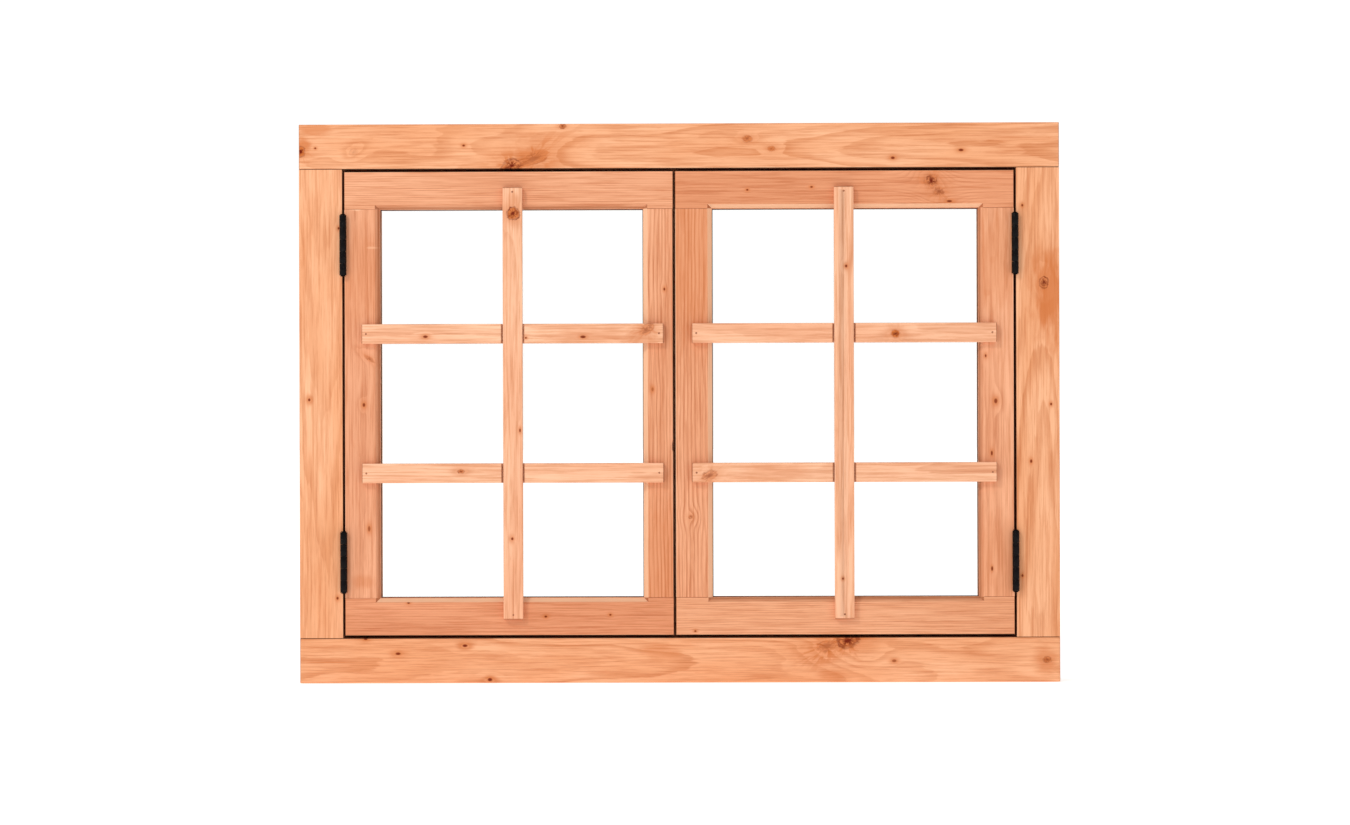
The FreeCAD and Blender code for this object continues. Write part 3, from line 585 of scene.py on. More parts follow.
@dataclass(frozen=True)
class MetalFinish:
    """A metal, bare or blacked, with rubbed spots."""

    name: str
    base: Colour
    rubbed: Colour
    metallic: float
    smooth: float
    rough: float
    scale: float
    wear: float
    shine: float = 0.3

    def material(self, groups: SharedGroups) -> bpy.types.Material:
        """Make the metal's material from the shared effects."""
        made, w, where = new_material(self.name)
        spots = w.place(groups.speckle, {"Place": where, "Scale": self.scale})
        worn = w.math("MULTIPLY", spots.outputs["Rubbed"], self.wear)
        colour = w.mix(worn, self.base, self.rubbed)
        matt = w.spread(spots.outputs["Patch"], 0.3, 0.7, self.smooth, self.rough)
        bump = w.node("ShaderNodeBump", {
            "Strength": 0.3, "Distance": 0.00012, "Height": spots.outputs["Grit"]})
        w.surface({
            "Base Color": colour, "Roughness": matt, "Metallic": self.metallic, "Normal": bump.outputs[0],
            "Specular IOR Level": self.shine})
        return made


@dataclass(frozen=True)
class GlassFinish:
    """Clear window glass with the faintest roll of its surface."""

    name: str = "clear_pane"
    tint: Colour = (0.985, 1.0, 0.992)

    def material(self, groups: SharedGroups) -> bpy.types.Material:
        """Make the glass, which needs none of the shared effects."""
        made, w, where = new_material(self.name)
        roll = w.noise(where, 9.0, 1.0).outputs[0]
        bump = w.node("ShaderNodeBump", {"Strength": 0.02, "Distance": 0.0005, "Height": roll})
        w.surface({
            "Base Color": self.tint, "Roughness": 0.0, "IOR": 1.45, "Transmission Weight": 1.0,
            "Normal": bump.outputs[0]})
        return made


BLACK_STEEL = MetalFinish("blacked_steel", tone(3, 1, 2), tone(44, 34, 32), 0.0, 0.24, 0.40, 420.0, 0.5, 0.12)
BLACK_SCREW = MetalFinish("blacked_screw", tone(22, 18, 18), tone(96, 82, 72), 0.5, 0.32, 0.50, 700.0, 0.6)
BLACK_BOLT = MetalFinish("blacked_bolt", tone(24, 22, 22), tone(86, 76, 70), 0.4, 0.34, 0.58, 320.0, 0.5)
ZINC = MetalFinish("zinc_plate", tone(176, 178, 172), tone(120, 118, 108), 0.9, 0.28, 0.48, 300.0, 0.5)
DULL_NAIL = MetalFinish("dull_nail", tone(168, 102, 70), tone(112, 64, 42), 0.1, 0.5, 0.66, 800.0, 0.6)
RUBBER = MetalFinish("black_tape", tone(52, 24, 14), tone(70, 40, 28), 0.0, 0.70, 0.85, 500.0, 0.4, 0.05)

FRAME_PINE = TimberFinish(
    "frame_pine", Grain.LEVEL, tone(247, 187, 145), tone(208, 128, 78), tone(235, 163, 116), contrast=0.58)
SASH_FIR = TimberFinish(
    "sash_fir", Grain.LEVEL, tone(240, 176, 137), tone(200, 124, 84), tone(227, 157, 117), pith=(0.09, 0.11),
    tilt=0.003, spacing=0.0019, wander=0.003, contrast=0.44, coarse=0.54)
BAR_PINE = TimberFinish(
    "bar_pine", Grain.LEVEL, tone(250, 198, 162), tone(208, 132, 88), tone(240, 176, 138), pith=(0.03, 0.012),
    tilt=0.006, spacing=0.0026, wander=0.010, contrast=0.42)
BACK_PINE = TimberFinish(
    "back_pine", Grain.LEVEL, tone(247, 188, 146), tone(218, 146, 102), tone(238, 172, 128),
    pith=(0.06, 0.02), spacing=0.0028, contrast=0.45)
BEECH = TimberFinish(
    "beech", Grain.LEVEL, tone(226, 178, 138), tone(204, 150, 110), tone(216, 166, 126), spacing=0.002,
    contrast=0.25)


# ---------------------------------------------------------------- mesh work


@dataclass
class Shop:
    """What every maker shares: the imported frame, the shared effects, and the materials made so far."""

    nodes: dict[str, bpy.types.Object]
    groups: SharedGroups
    metals: dict[str, bpy.types.Material]

    def metal(self, finish: MetalFinish | GlassFinish) -> bpy.types.Material:
        """A metal's or the glass's material, made the first time that it is asked for."""
        if finish.name not in self.metals:
            self.metals[finish.name] = finish.material(self.groups)
        return self.metals[finish.name]

    def merged_copy(self, node: str) -> bmesh.types.BMesh:
        """Copy a CAD node's mesh, weld it, and clear the lines across its flat faces.

        Args:
            node: the node's name.

        Returns:
            The copy.
        """
        bm = bmesh.new()
        bm.from_mesh(self.nodes[node].data)
        bmesh.ops.remove_doubles(bm, verts=bm.verts, dist=WELD)
        bmesh.ops.dissolve_limit(bm, angle_limit=FLAT, verts=bm.verts, edges=bm.edges)
        return bm

    def finish_piece(self, bm: bmesh.types.BMesh, name: str, body: str, replaced: Iterable[str],
                     materials: Iterable[bpy.types.Material], smooth: bool = False) -> bpy.types.Object:
        """Turn a worked mesh into a piece that rides on a body.

        Args:
            bm: the mesh, which is freed.
            name: the piece's name.
            body: the body that it rides on.
            replaced: the CAD nodes that it stands for.
            materials: its materials, in the order of its faces' numbers.
            smooth: whether its narrow faces, which make up its curves, are shaded smooth.

        Returns:
            The piece.
        """
        curved = [face.calc_area() < BROAD * max(edge.calc_length() for edge in face.edges)
                  for face in bm.faces]
        mesh = bpy.data.meshes.new(name)
        bm.to_mesh(mesh)
        bm.free()
        for material in materials:
            mesh.materials.append(material)
        if smooth:
            mesh.set_sharp_from_angle(angle=SHARP)
            mesh.polygons.foreach_set("use_smooth", curved)
        piece = bpy.data.objects.new(name, mesh)
        bpy.context.scene.collection.objects.link(piece)
        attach(piece, body)
        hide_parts(*replaced)
        LOG.info("%s on %s: %d faces", name, body, len(mesh.polygons))
        return piece

    def dress(self, node: str, material: bpy.types.Material) -> None:
        """Give a CAD node that stays a better material."""
        for place in self.nodes[node].material_slots:
            place.material = material
        LOG.info("%s keeps its shape, in %s", node, material.name)


def ease(bm: bmesh.types.BMesh, width: float, least_length: float, least_angle: float = 30.0,
         segments: int = 2) -> None:
    """Round the outward edges that are long and sharp enough.

    Args:
        bm: the mesh.
        width: how far the rounding reaches, in metres.
        least_length: the shortest edge that is rounded, in metres.
        least_angle: the smallest turn between its faces, in degrees.
        segments: how many strips the rounding has.
    """
    sharp = math.radians(least_angle)
    edges = [edge for edge in bm.edges
             if len(edge.link_faces) == 2 and edge.is_convex and edge.calc_face_angle() > sharp
             and edge.calc_length() > least_length]
    bmesh.ops.bevel(bm, geom=edges, offset=width, affect="EDGES", segments=segments, profile=0.5, material=-1,
                    clamp_overlap=True)


@dataclass(frozen=True)
class Fixing:
    """Where one screw or nail of a CAD node sits."""

    head: Vector
    toward: Vector
    length: float
    head_radius: float
    shank_radius: float


def fixings(shop: Shop, node: str) -> list[Fixing]:
    """Read each separate solid of a node of screws or nails.

    A pin with no head is driven outwards from the node's middle, or from the front.

    Args:
        shop: what every maker shares.
        node: the node's name.

    Returns:
        One entry for each screw or nail.
    """
    bm = bmesh.new()
    bm.from_mesh(shop.nodes[node].data)
    bmesh.ops.remove_doubles(bm, verts=bm.verts, dist=WELD)
    found = []
    centre = sum((vert.co for vert in bm.verts), Vector()) / len(bm.verts)
    left = set(bm.verts)
    while left:
        group = {left.pop()}
        edge = list(group)
        while edge:
            for link in edge.pop().link_edges:
                for vert in link.verts:
                    if vert in left:
                        left.remove(vert)
                        group.add(vert)
                        edge.append(vert)
        low = Vector(min(v.co[i] for v in group) for i in range(3))
        high = Vector(max(v.co[i] for v in group) for i in range(3))
        span = high - low
        axis = max(range(3), key=lambda i: span[i])
        middle = (low + high) / 2

        def widest(level: float) -> float:
            """The largest radius within a hair of one end."""
            near = [v.co - middle for v in group if abs(v.co[axis] - level) < 1e-5]
            return max(math.hypot(*(c[i] for i in range(3) if i != axis)) for c in near)

        ends = (widest(low[axis]), widest(high[axis]))
        head, toward = middle.copy(), Vector((0.0, 0.0, 0.0))
        if abs(ends[0] - ends[1]) > WELD:
            at_low = ends[0] > ends[1]
        else:
            at_low = axis == 1 or abs(low[axis] - centre[axis]) < abs(high[axis] - centre[axis])
        head[axis] = low[axis] if at_low else high[axis]
        toward[axis] = 1.0 if at_low else -1.0
        found.append(Fixing(head, toward, span[axis], max(ends), min(ends)))
    bm.free()
    return sorted(found, key=lambda spot: tuple(spot.head))


def cross_point(step: int, wing: float, half: float) -> tuple[float, float]:
    """A corner of a cross-shaped recess.

    Args:
        step: the corner's number out of HEAD_STEPS.
        wing: how far the cross reaches.
        half: half the width of a wing.

    Returns:
        The corner's two coordinates.
    """
    quarter, place = divmod(step, HEAD_STEPS // 4)
    middle = (wing + half) / 2
    x, y = ((wing, 0.0), (wing, half), (middle, half), (half, half), (half, middle), (half, wing))[place]
    for _ in range(quarter):
        x, y = -y, x
    return x, y


def add_fixing(bm: bmesh.types.BMesh, spot: Fixing, crossed: bool) -> None:
    """Add a screw with a cross recess and a pointed shank, or a nail with a dished head.

    Args:
        bm: the mesh to add to.
        spot: where it sits.
        crossed: whether it is a screw.
    """
    own = bmesh.new()
    head, shank = spot.head_radius, spot.shank_radius
    rim = bmesh.ops.create_circle(own, cap_ends=True, segments=HEAD_STEPS, radius=head)["verts"]
    top = rim[0].link_faces[0]
    if crossed:
        bmesh.ops.inset_region(own, faces=[top], use_boundary=True, thickness=head * 0.12)
        bmesh.ops.inset_region(own, faces=[top], use_boundary=True, thickness=head * 0.22)
        for vert in top.verts:
            part_turn = math.atan2(vert.co.y, vert.co.x) / math.tau
            x, y = cross_point(round(part_turn * HEAD_STEPS) % HEAD_STEPS, head * 0.60, head * 0.13)
            vert.co = Vector((x, y, 0.0))
        sunk = bmesh.ops.extrude_discrete_faces(own, faces=[top])["faces"][0]
        bmesh.ops.translate(own, verts=sunk.verts, vec=(0.0, 0.0, -head * 0.55))
        bmesh.ops.scale(own, verts=sunk.verts, vec=(0.55, 0.55, 1.0))
        levels = [(head - shank, shank), (spot.length - 2 * shank, shank), (spot.length, shank * 0.15)]
    else:
        bmesh.ops.inset_region(own, faces=[top], use_boundary=True, thickness=head * 0.35)
        bmesh.ops.translate(own, verts=top.verts, vec=(0.0, 0.0, -head * 0.12))
        levels = [(spot.length - 2 * shank, shank), (spot.length, shank * 0.25)]
    loop = [edge for edge in own.edges if edge.is_boundary]
    for depth, radius in levels:
        made = bmesh.ops.extrude_edge_only(own, edges=loop)["geom"]
        verts = [item for item in made if isinstance(item, bmesh.types.BMVert)]
        loop = [item for item in made if isinstance(item, bmesh.types.BMEdge) and item.is_boundary]
        here = Vector((verts[0].co.x, verts[0].co.y, 0.0)).length
        bmesh.ops.scale(own, verts=verts, vec=(radius / here, radius / here, 1.0))
        for vert in verts:
            vert.co.z = -depth
    bmesh.ops.contextual_create(own, geom=loop)
    bmesh.ops.recalc_face_normals(own, faces=own.faces)
    turn = (-spot.toward).to_track_quat("Z", "Y").to_matrix().to_4x4()
    bmesh.ops.transform(own, matrix=Matrix.Translation(spot.head) @ turn, verts=own.verts)
    mesh = bpy.data.meshes.new("one_fixing")
    own.to_mesh(mesh)
    own.free()
    bm.from_mesh(mesh)
    bpy.data.meshes.remove(mesh)


@dataclass
class Fixings:
    """The screws or nails of one CAD node, made again with real heads."""

    node: str
    body: str
    slot: str
    finish: MetalFinish
    crossed: bool = True

    def build(self, shop: Shop) -> None:
        """Make them all as one piece."""
        bm = bmesh.new()
        for spot in fixings(shop, self.node):
            add_fixing(bm, spot, self.crossed)
        metal = shop.metal(self.finish)
        shop.finish_piece(bm, f"made_{self.node}", self.body, [self.node], [metal], True)


@dataclass
class Member:
    """One length of timber."""

    node: str
    body: str
    slot: str
    finish: TimberFinish
    arris: float = 0.0006
    # whether the inner bevels get a painted highlight (True) or painted shade (False); None paints neither
    painted_lit_bevel: bool | None = None
    # the way into the gap; faces that look that way get painted shade
    painted_gap_shade_side: Vector | None = None
    work: Callable[[bmesh.types.BMesh], None] | None = None

    def surface_of(self, face: bmesh.types.BMFace) -> Surface:
        """What kind of face this is, from the way that it looks."""
        normal = face.normal
        run = normal.x if self.finish.grain is Grain.LEVEL else normal.z
        if abs(run) > END_RUN or face.calc_area() < HOLE_FACET:
            return Surface.END
        # bevels on the lit side get a painted highlight, the others painted shade
        if self.painted_lit_bevel is not None and -0.95 < normal.y < -0.3 and face.calc_area() > BEVEL_FACET:
            return Surface.PAINTED_HIGHLIGHT if self.painted_lit_bevel else Surface.DARK
        # faces that look into a gap get painted shade
        if self.painted_gap_shade_side is not None and normal.dot(self.painted_gap_shade_side) > GAP_SHADE_LOOK:
            return Surface.EDGE
        return Surface.FLANK if abs(normal.y) < FLANK_LOOK else Surface.SIDE

    def build(self, shop: Shop) -> bpy.types.Object:
        """Ease the member's long edges and sort its faces.

        Args:
            shop: what every maker shares.

        Returns:
            The piece.
        """
        bm = shop.merged_copy(self.node)
        ease(bm, self.arris, TIMBER_EDGE)
        if self.work:
            self.work(bm)
        kinds = [self.surface_of(face) for face in bm.faces]
        used = sorted(set(kinds), key=lambda kind: kind.value)
        for face, kind in zip(bm.faces, kinds):
            face.material_index = used.index(kind)
        materials = [self.finish.material(shop.groups, kind) for kind in used]
        return shop.finish_piece(bm, f"made_{self.node}", self.body, [self.node], materials)


# ---------------------------------------------------------------- the boards


def board(base: TimberFinish, name: str, grain: Grain, seed: float, knots: Iterable[Knot] = (),
          stains: Iterable[Stain] = (), **changes: object) -> TimberFinish:
    """A finish for one board, from the kind of timber that it is.

    Args:
        base: the kind of timber.
        name: the board's name.
        grain: which way it runs.
        seed: a number that shifts its figure.
        knots, stains: its marks.
        changes: what else differs.

    Returns:
        The board's finish.
    """
    return replace(base, name=name, grain=grain, seed=seed, knots=tuple(knots), stains=tuple(stains),
                   **changes)


HEAD = board(FRAME_PINE, "head_board", Grain.LEVEL, 3.1, [
    Knot(-204, 633, 7.6, 1.6, 0.9, 1.0, 1.0, 1.0, 14.0),
    Knot(-178, 642, 9.0, 2.4, 0.3, 0.5, 0.4, 1.0, 20.0, 0.8, 0.0),
    Knot(-141.7, 681, 3.2, 1.3, 0.8, 0.6), Knot(-263, 657.8, 1.5, 1.3, 0.6),
    Knot(-330, 655, 9.0, 3.4, 0.3, 2.2, 0.0, body=0.0),
    Knot(-398, 650, 4.2, 1.2, 0.7, 1.3, 0.22, 0.2, 30.0, 0.15, 1.0),
    Knot(84, 665, 4.2, 1.5, 0.8, 1.3, 0.5, 0.4), Knot(113.5, 652.5, 3.2, 1.5, 0.8, 1.0, 0.42, 0.3),
    Knot(262, 641, 1.9, 1.5, 0.8), Knot(345.4, 650.3, 1.9, 1.9, 0.8), Knot(-444.8, 655, 1.2, 1.2, 0.4),
    Knot(-463, 651, 6.0, 0.9, 0.4, 0.4, 1.0, 0.9, body=1.0)],
    [Stain(-180, 647, 30, 8, 0.72), Stain(-460, 659, 12, 13, 0.72), Stain(-446, 677, 24, 10, 0.5),
     Stain(60, 648, 120, 16, 0.16), Stain(400, 664, 90, 6, 0.18)],
    pith=(0.036, 0.652), tilt=0.030, spacing=0.0038, wander=0.020)

SILL = board(FRAME_PINE, "sill_board", Grain.LEVEL, 8.4, [
    Knot(-345, 36, 1.9, 1.9, 0.8, 0.8, 0.9), Knot(-263, 45.6, 2.0, 1.8, 0.8, 1.0, 0.95),
    Knot(-384.6, 54, 1.5, 1.8, 0.6), Knot(-232.5, 4, 2.4, 1.4, 0.8, 0.8, 0.95, 0.3),
    Knot(205, 51, 9.0, 1.4, 0.9, 0.9, 1.0, 1.0), Knot(180, 44, 8.0, 2.0, 0.3, 0.2, 0.4, 1.0, 24.0, 0.6, 0.0),
    Knot(228, 28, 6.0, 1.6, 0.4, 1.7, 0.0, body=0.0), Knot(315, 29, 11.0, 3.4, 0.3, 1.6, 0.0, body=0.0),
    Knot(262, 26, 2.0, 1.6, 0.6, 0.0, 0.6), Knot(449, 27, 4.0, 1.3, 0.7, 0.8, 0.6)],
    [Stain(-24, 37, 30, 14, 0.30), Stain(186, 9, 26, 10, 0.42), Stain(214, 44, 36, 8, 0.35),
     Stain(447, 26, 18, 24, 0.5), Stain(-250, 4, 34, 5, 0.3), Stain(-418, 25.5, 50, 0.7, 0.55)],
    pith=(0.040, 0.020), tilt=-0.026, spacing=0.0037, wander=0.020)

LEFT_JAMB = board(FRAME_PINE, "left_jamb_board", Grain.UPRIGHT, 5.7, [
    Knot(-416.5, 557, 1.4), Knot(-453, 347, 1.8, 1.2, 0.8, 0.8), Knot(-419, 104, 1.6, 1.3)],
    [Stain(-460, 500, 90, 5, 0.16)],
    pith=(0.05, 0.436), tilt=0.018, spacing=0.0032, wander=0.012, contrast=0.46)

RIGHT_JAMB = board(FRAME_PINE, "right_jamb_board", Grain.UPRIGHT, 12.9, [
    Knot(420, 582.5, 1.4), Knot(446, 488, 5.6, 1.2, 0.9, 1.2, 0.9, 0.5, body=0.5, rim=1.0),
    Knot(454.6, 339.4, 1.5),
    Knot(430, 269.6, 1.7, 1.5), Knot(419, 129.8, 1.5)],
    [Stain(456, 472, 66, 30, 0.80)], pith=(0.045, -0.440), tilt=-0.020, spacing=0.0034, wander=0.014)

SASH_BOARDS = {
    "left_top_rail": board(SASH_FIR, "left_top_board", Grain.LEVEL, 2.2, tilt=0.003, pith=(0.07, 0.70)),
    "left_bottom_rail": board(
        SASH_FIR, "left_bottom_board", Grain.LEVEL, 4.6,
        [Knot(-332, 98, 1.2, 1.6), Knot(-164, 81, 1.5, 1.4), Knot(-85, 83, 1.3, 1.3)],
        early=tone(232, 160, 120), deep=tone(218, 144, 104), pith=(0.06, 0.01)),
    "right_top_rail": board(
        SASH_FIR, "right_top_board", Grain.LEVEL, 6.9,
        [Knot(84, 602.4, 1.3, 1.2), Knot(162.6, 605.7, 1.2, 1.6),
         Knot(309, 613, 7.4, 1.1, 0.9, 1.6, 1.0, 0.7, -48.0, 0.62, 0.3),
         Knot(318, 600, 6.6, 1.0, 0.5, 0.8, 0.6, 0.6, -48.0, 0.5, 0.2), Knot(331, 587.8, 1.6, 2.4, 0.7, 0.4)],
        [Stain(317, 599, 9, 9, 0.3)], early=tone(232, 160, 119), deep=tone(218, 144, 103), pith=(0.06, 0.66)),
    "right_bottom_rail": board(
        SASH_FIR, "right_bottom_board", Grain.LEVEL, 9.3, [Knot(19, 62.8, 1.2, 1.3)],
        early=tone(240, 177, 137), deep=tone(228, 160, 119), pith=(0.08, -0.02)),
    "left_hinge_stile": board(
        SASH_FIR, "left_hinge_board", Grain.UPRIGHT, 11.8,
        [Knot(-379, 397, 2.6, 3.2, 0.6, 0.8, 0.45, 0.2, 52.0, 0.5, 0.0),
         Knot(-386, 340.6, 2.0, 1.4, 0.8, 0.7, 0.8),
         Knot(-380, 189, 1.8, 2.2, 0.8, 0.0, 0.6)],
        [Stain(-377, 538, 4, 10, 0.30), Stain(-388, 124, 10, 16, 0.35), Stain(-390, 500, 80, 60, 0.26)],
        patches=(Stain(-395, 581.5, 3.6, 9.5, 0.85), Stain(-374, 533, 1.6, 8, 0.34)),
        early=tone(238, 172, 134), deep=tone(225, 156, 118), pith=(0.05, 0.40),
        spacing=0.0026, contrast=0.42),
    "left_meeting_stile": board(
        SASH_FIR, "left_meeting_board", Grain.UPRIGHT, 14.1,
        [Knot(-17.8, 481.3, 1.3, 1.6), Knot(-32.5, 358.7, 1.6, 1.8, 0.7, 0.0, 0.4)],
        [Stain(-25, 140, 120, 60, 0.30)], pith=(0.035, 0.075), spacing=0.0028, contrast=0.82, wander=0.010),
    "right_meeting_stile": board(
        SASH_FIR, "right_meeting_board", Grain.UPRIGHT, 17.5,
        [Knot(14, 202.7, 3.4, 0.8, 0.9, 0.8, 0.6, 0.3, 12.0, 0.5, 0.0)],
        [Stain(18, 520, 130, 60, 0.40)],
        pith=(0.035, -0.062), spacing=0.0027, contrast=0.86, wander=0.010),
    "right_hinge_stile": board(
        SASH_FIR, "right_hinge_board", Grain.UPRIGHT, 20.3,
        [Knot(374.8, 398.7, 1.2, 1.8), Knot(387, 343.4, 2.4, 1.5, 0.8, 1.0, 0.8), Knot(382, 279.6, 1.4, 2.4),
         Knot(382, 138.5, 1.4, 2.4)],
        [Stain(383, 516, 8, 6, 0.4), Stain(377, 476, 6, 6, 0.4), Stain(388, 520, 74, 60, 0.32),
         Stain(388, 150, 60, 60, 0.24)],
        early=tone(242, 178, 139), deep=tone(230, 160, 121), pith=(0.05, -0.40),
        spacing=0.0026, contrast=0.44),
}

BAR_BOARDS = {
    "left_upright_bar": board(BAR_PINE, "left_upright_strip", Grain.UPRIGHT, 23.2, [
        Knot(-202.2, 574, 7.4, 1.0, 0.9, 1.2, 0.95, 0.3, body=0.95, rim=1.0), Knot(-194.5, 309, 1.2, 2.2),
        Knot(-204.3, 176.6, 1.7, 1.2, 0.9, 0.6)],
        [Stain(-203, 590, 14, 9, 0.3), Stain(-203, 520, 60, 16, 0.14)], pith=(0.02, 0.215)),
    "right_upright_bar": board(BAR_PINE, "right_upright_strip", Grain.UPRIGHT, 26.4, [
        Knot(204.3, 508.6, 1.7, 1.2, 0.9, 0.8), Knot(199.4, 127, 1.3, 1.2)], pith=(0.03, -0.190)),
    "left_upper_cross_bar": board(BAR_PINE, "left_upper_strip", Grain.LEVEL, 29.5, [
        Knot(-309.8, 423.7, 1.9, 1.8), Knot(-187, 422, 1.2, 1.2), Knot(-117.2, 423, 2.0, 2.0),
        Knot(-40, 432, 6.6, 1.7, 0.9, 0.8, 0.5, 0.7, 34.0, 0.62, 0.0)],
        [Stain(-112, 424, 60, 14, 0.26)], pith=(0.02, 0.440)),
    "left_lower_cross_bar": board(BAR_PINE, "left_lower_strip", Grain.LEVEL, 32.3, [
        Knot(-266.9, 259, 2.6, 1.5, 0.9, 1.0)], pith=(0.025, 0.250)),
    "right_upper_cross_bar": board(BAR_PINE, "right_upper_strip", Grain.LEVEL, 35.6, [
        Knot(264.4, 426, 4.8, 1.05, 0.9, 1.0, 1.0, 0.6, body=1.0, rim=0.4)], pith=(0.03, 0.435)),
    "right_lower_cross_bar": board(BAR_PINE, "right_lower_strip", Grain.LEVEL, 38.9, [
        Knot(37, 253, 6.4, 1.8, 0.8, 0.5, 0.55, 0.6, 28.0, 0.62, 0.0)],
        [Stain(110, 255, 60, 16, 0.30)], pith=(0.025, 0.262)),
}


# ---------------------------------------------------------------- sub-assemblies

# The way from each frame member into the gap round the sashes; faces that look there get painted shade.
INWARD = {"head": Vector((0.0, 0.0, -1.0)), "sill": Vector((0.0, 0.0, 1.0)),
          "left_jamb": Vector((1.0, 0.0, 0.0)), "right_jamb": Vector((-1.0, 0.0, 0.0))}


@dataclass
class OuterFrame:
    """Head, sill, jambs, the stops behind the sashes, the centre post, and their fixings."""

    arris: float = 0.0007
    stop_arris: float = 0.0010
    body: str = "frame"

    def build(self, shop: Shop) -> None:
        """Make every piece of the outer frame."""
        boards = {"head": HEAD, "sill": SILL, "left_jamb": LEFT_JAMB, "right_jamb": RIGHT_JAMB}
        for node, finish in boards.items():
            Member(node, self.body, "frame_timber", finish, self.arris, None, INWARD[node]).build(shop)
        stops = {"head_stop": Grain.LEVEL, "sill_stop": Grain.LEVEL, "left_stop": Grain.UPRIGHT,
                 "right_stop": Grain.UPRIGHT, "centre_post": Grain.UPRIGHT}
        for index, (node, grain) in enumerate(stops.items()):
            finish = board(BACK_PINE, f"{node}_board", grain, 41.3 + 2.7 * index)
            Member(node, self.body, "stop_timber", finish, self.stop_arris).build(shop)
        Fixings("frame_screws", self.body, "zinc_screw", ZINC).build(shop)
        Fixings("stop_pins", self.body, "bright_nail", DULL_NAIL, False).build(shop)


@dataclass
class Sash:
    """One opening sash: rails, stiles, pane, beads and grille."""

    side: str
    # the members whose inner bevels get a painted highlight; the other members' bevels get painted shade
    painted_highlight: tuple[str, ...]
    arris: float = 0.0006
    bar_arris: float = 0.0010
    bead_arris: float = 0.0008

    def node(self, name: str) -> str:
        """This sash's own name for a node."""
        return f"{self.side}_{name}"

    def build(self, shop: Shop) -> None:
        """Make every piece of the sash."""
        body = f"{self.side}_sash"
        hinge_way = Vector((-1.0 if self.side == "left" else 1.0, 0.0, 0.0))
        # The way from each sash member into the gap round it; faces that look there get painted shade.
        outward = {"top_rail": Vector((0.0, 0.0, 1.0)), "bottom_rail": Vector((0.0, 0.0, -1.0)),
                   "hinge_stile": hinge_way, "meeting_stile": -hinge_way}
        for name in ("top_rail", "bottom_rail", "hinge_stile", "meeting_stile"):
            node = self.node(name)
            chip = chip_edge if node == "left_meeting_stile" else None
            Member(node, body, "sash_timber", SASH_BOARDS[node], self.arris, name in self.painted_highlight, outward[name],
                   chip).build(shop)
        for name in ("upright_bar", "upper_cross_bar", "lower_cross_bar"):
            node = self.node(name)
            Member(node, body, "bar_timber", BAR_BOARDS[node], self.bar_arris).build(shop)
        beads = {"top_bead": Grain.LEVEL, "bottom_bead": Grain.LEVEL, "hinge_bead": Grain.UPRIGHT,
                 "meeting_bead": Grain.UPRIGHT}
        for index, (name, grain) in enumerate(beads.items()):
            seed = 61.7 + 3.3 * index + (0.0 if self.side == "left" else 17.0)
            finish = board(BACK_PINE, f"{self.node(name)}_board", grain, seed)
            Member(self.node(name), body, "bead_timber", finish, self.bead_arris).build(shop)
        self.build_glazing(shop, body)
        Fixings(self.node("bar_nails"), body, "bright_nail", DULL_NAIL, False).build(shop)
        Fixings(self.node("bead_pins"), body, "bright_nail", DULL_NAIL, False).build(shop)
        Fixings(self.node("sash_screws"), body, "black_screw", BLACK_SCREW).build(shop)
        pegs = board(BEECH, f"{self.side}_pegs", Grain.LEVEL, 90.1).material(shop.groups, Surface.SIDE)
        shop.dress(self.node("dowels"), pegs)

    def build_glazing(self, shop: Shop, body: str) -> None:
        """Make the pane, with its edges ground, and dress its tape."""
        pane = self.node("glass")
        bm = shop.merged_copy(pane)
        ease(bm, 0.0004, 0.01, segments=1)
        shop.finish_piece(bm, f"made_{pane}", body, [pane], [shop.metal(GlassFinish())])
        shop.dress(self.node("glazing_tape"), shop.metal(RUBBER))


def chip_edge(bm: bmesh.types.BMesh) -> None:
    """Knock a small splinter off the meeting stile's front edge."""
    low, high, depth, reach = 0.281, 0.298, 0.0011, 0.0035
    edge_x = max(vert.co.x for vert in bm.verts)
    front_y = min(vert.co.y for vert in bm.verts)

    def near(vert: bmesh.types.BMVert) -> bool:
        """Whether a corner lies along the worked edge."""
        return edge_x - vert.co.x < reach + WELD and vert.co.y - front_y < reach + WELD

    def cut(faces: list[bmesh.types.BMFace], spot: Vector, way: Vector) -> None:
        """Cut some faces, and only them, with a plane."""
        geometry = {item for face in faces for item in (*face.verts, *face.edges, face)}
        bmesh.ops.bisect_plane(bm, geom=list(geometry), plane_co=spot, plane_no=way)

    cut(bm.faces[:], Vector((edge_x - reach, 0.0, 0.0)), Vector((1.0, 0.0, 0.0)))
    cut(bm.faces[:], Vector((0.0, front_y + reach, 0.0)), Vector((0.0, 1.0, 0.0)))
    for height in (low, low + 0.004, high - 0.006, high):
        strip = [face for face in bm.faces if all(near(vert) for vert in face.verts)]
        cut(strip, Vector((0.0, 0.0, height)), Vector((0.0, 0.0, 1.0)))
    for vert in bm.verts:
        if near(vert) and edge_x - vert.co.x < reach / 2 and vert.co.y - front_y < reach / 2:
            if low + 0.001 < vert.co.z < high - 0.001:
                vert.co += Vector((-depth, depth, 0.0))


def eased_metal(shop: Shop, node: str, body: str, material: bpy.types.Material,
                width: float) -> None:
    """Round the rims of one metal node and make it a piece.

    Args:
        shop: what every maker shares.
        node: the CAD node.
        body: the body that it rides on.
        material: its metal.
        width: how far the rounding reaches, in metres.
    """
    bm = shop.merged_copy(node)
    ease(bm, width, METAL_EDGE, METAL_TURN)
    shop.finish_piece(bm, f"made_{node}", body, [node], [material], True)


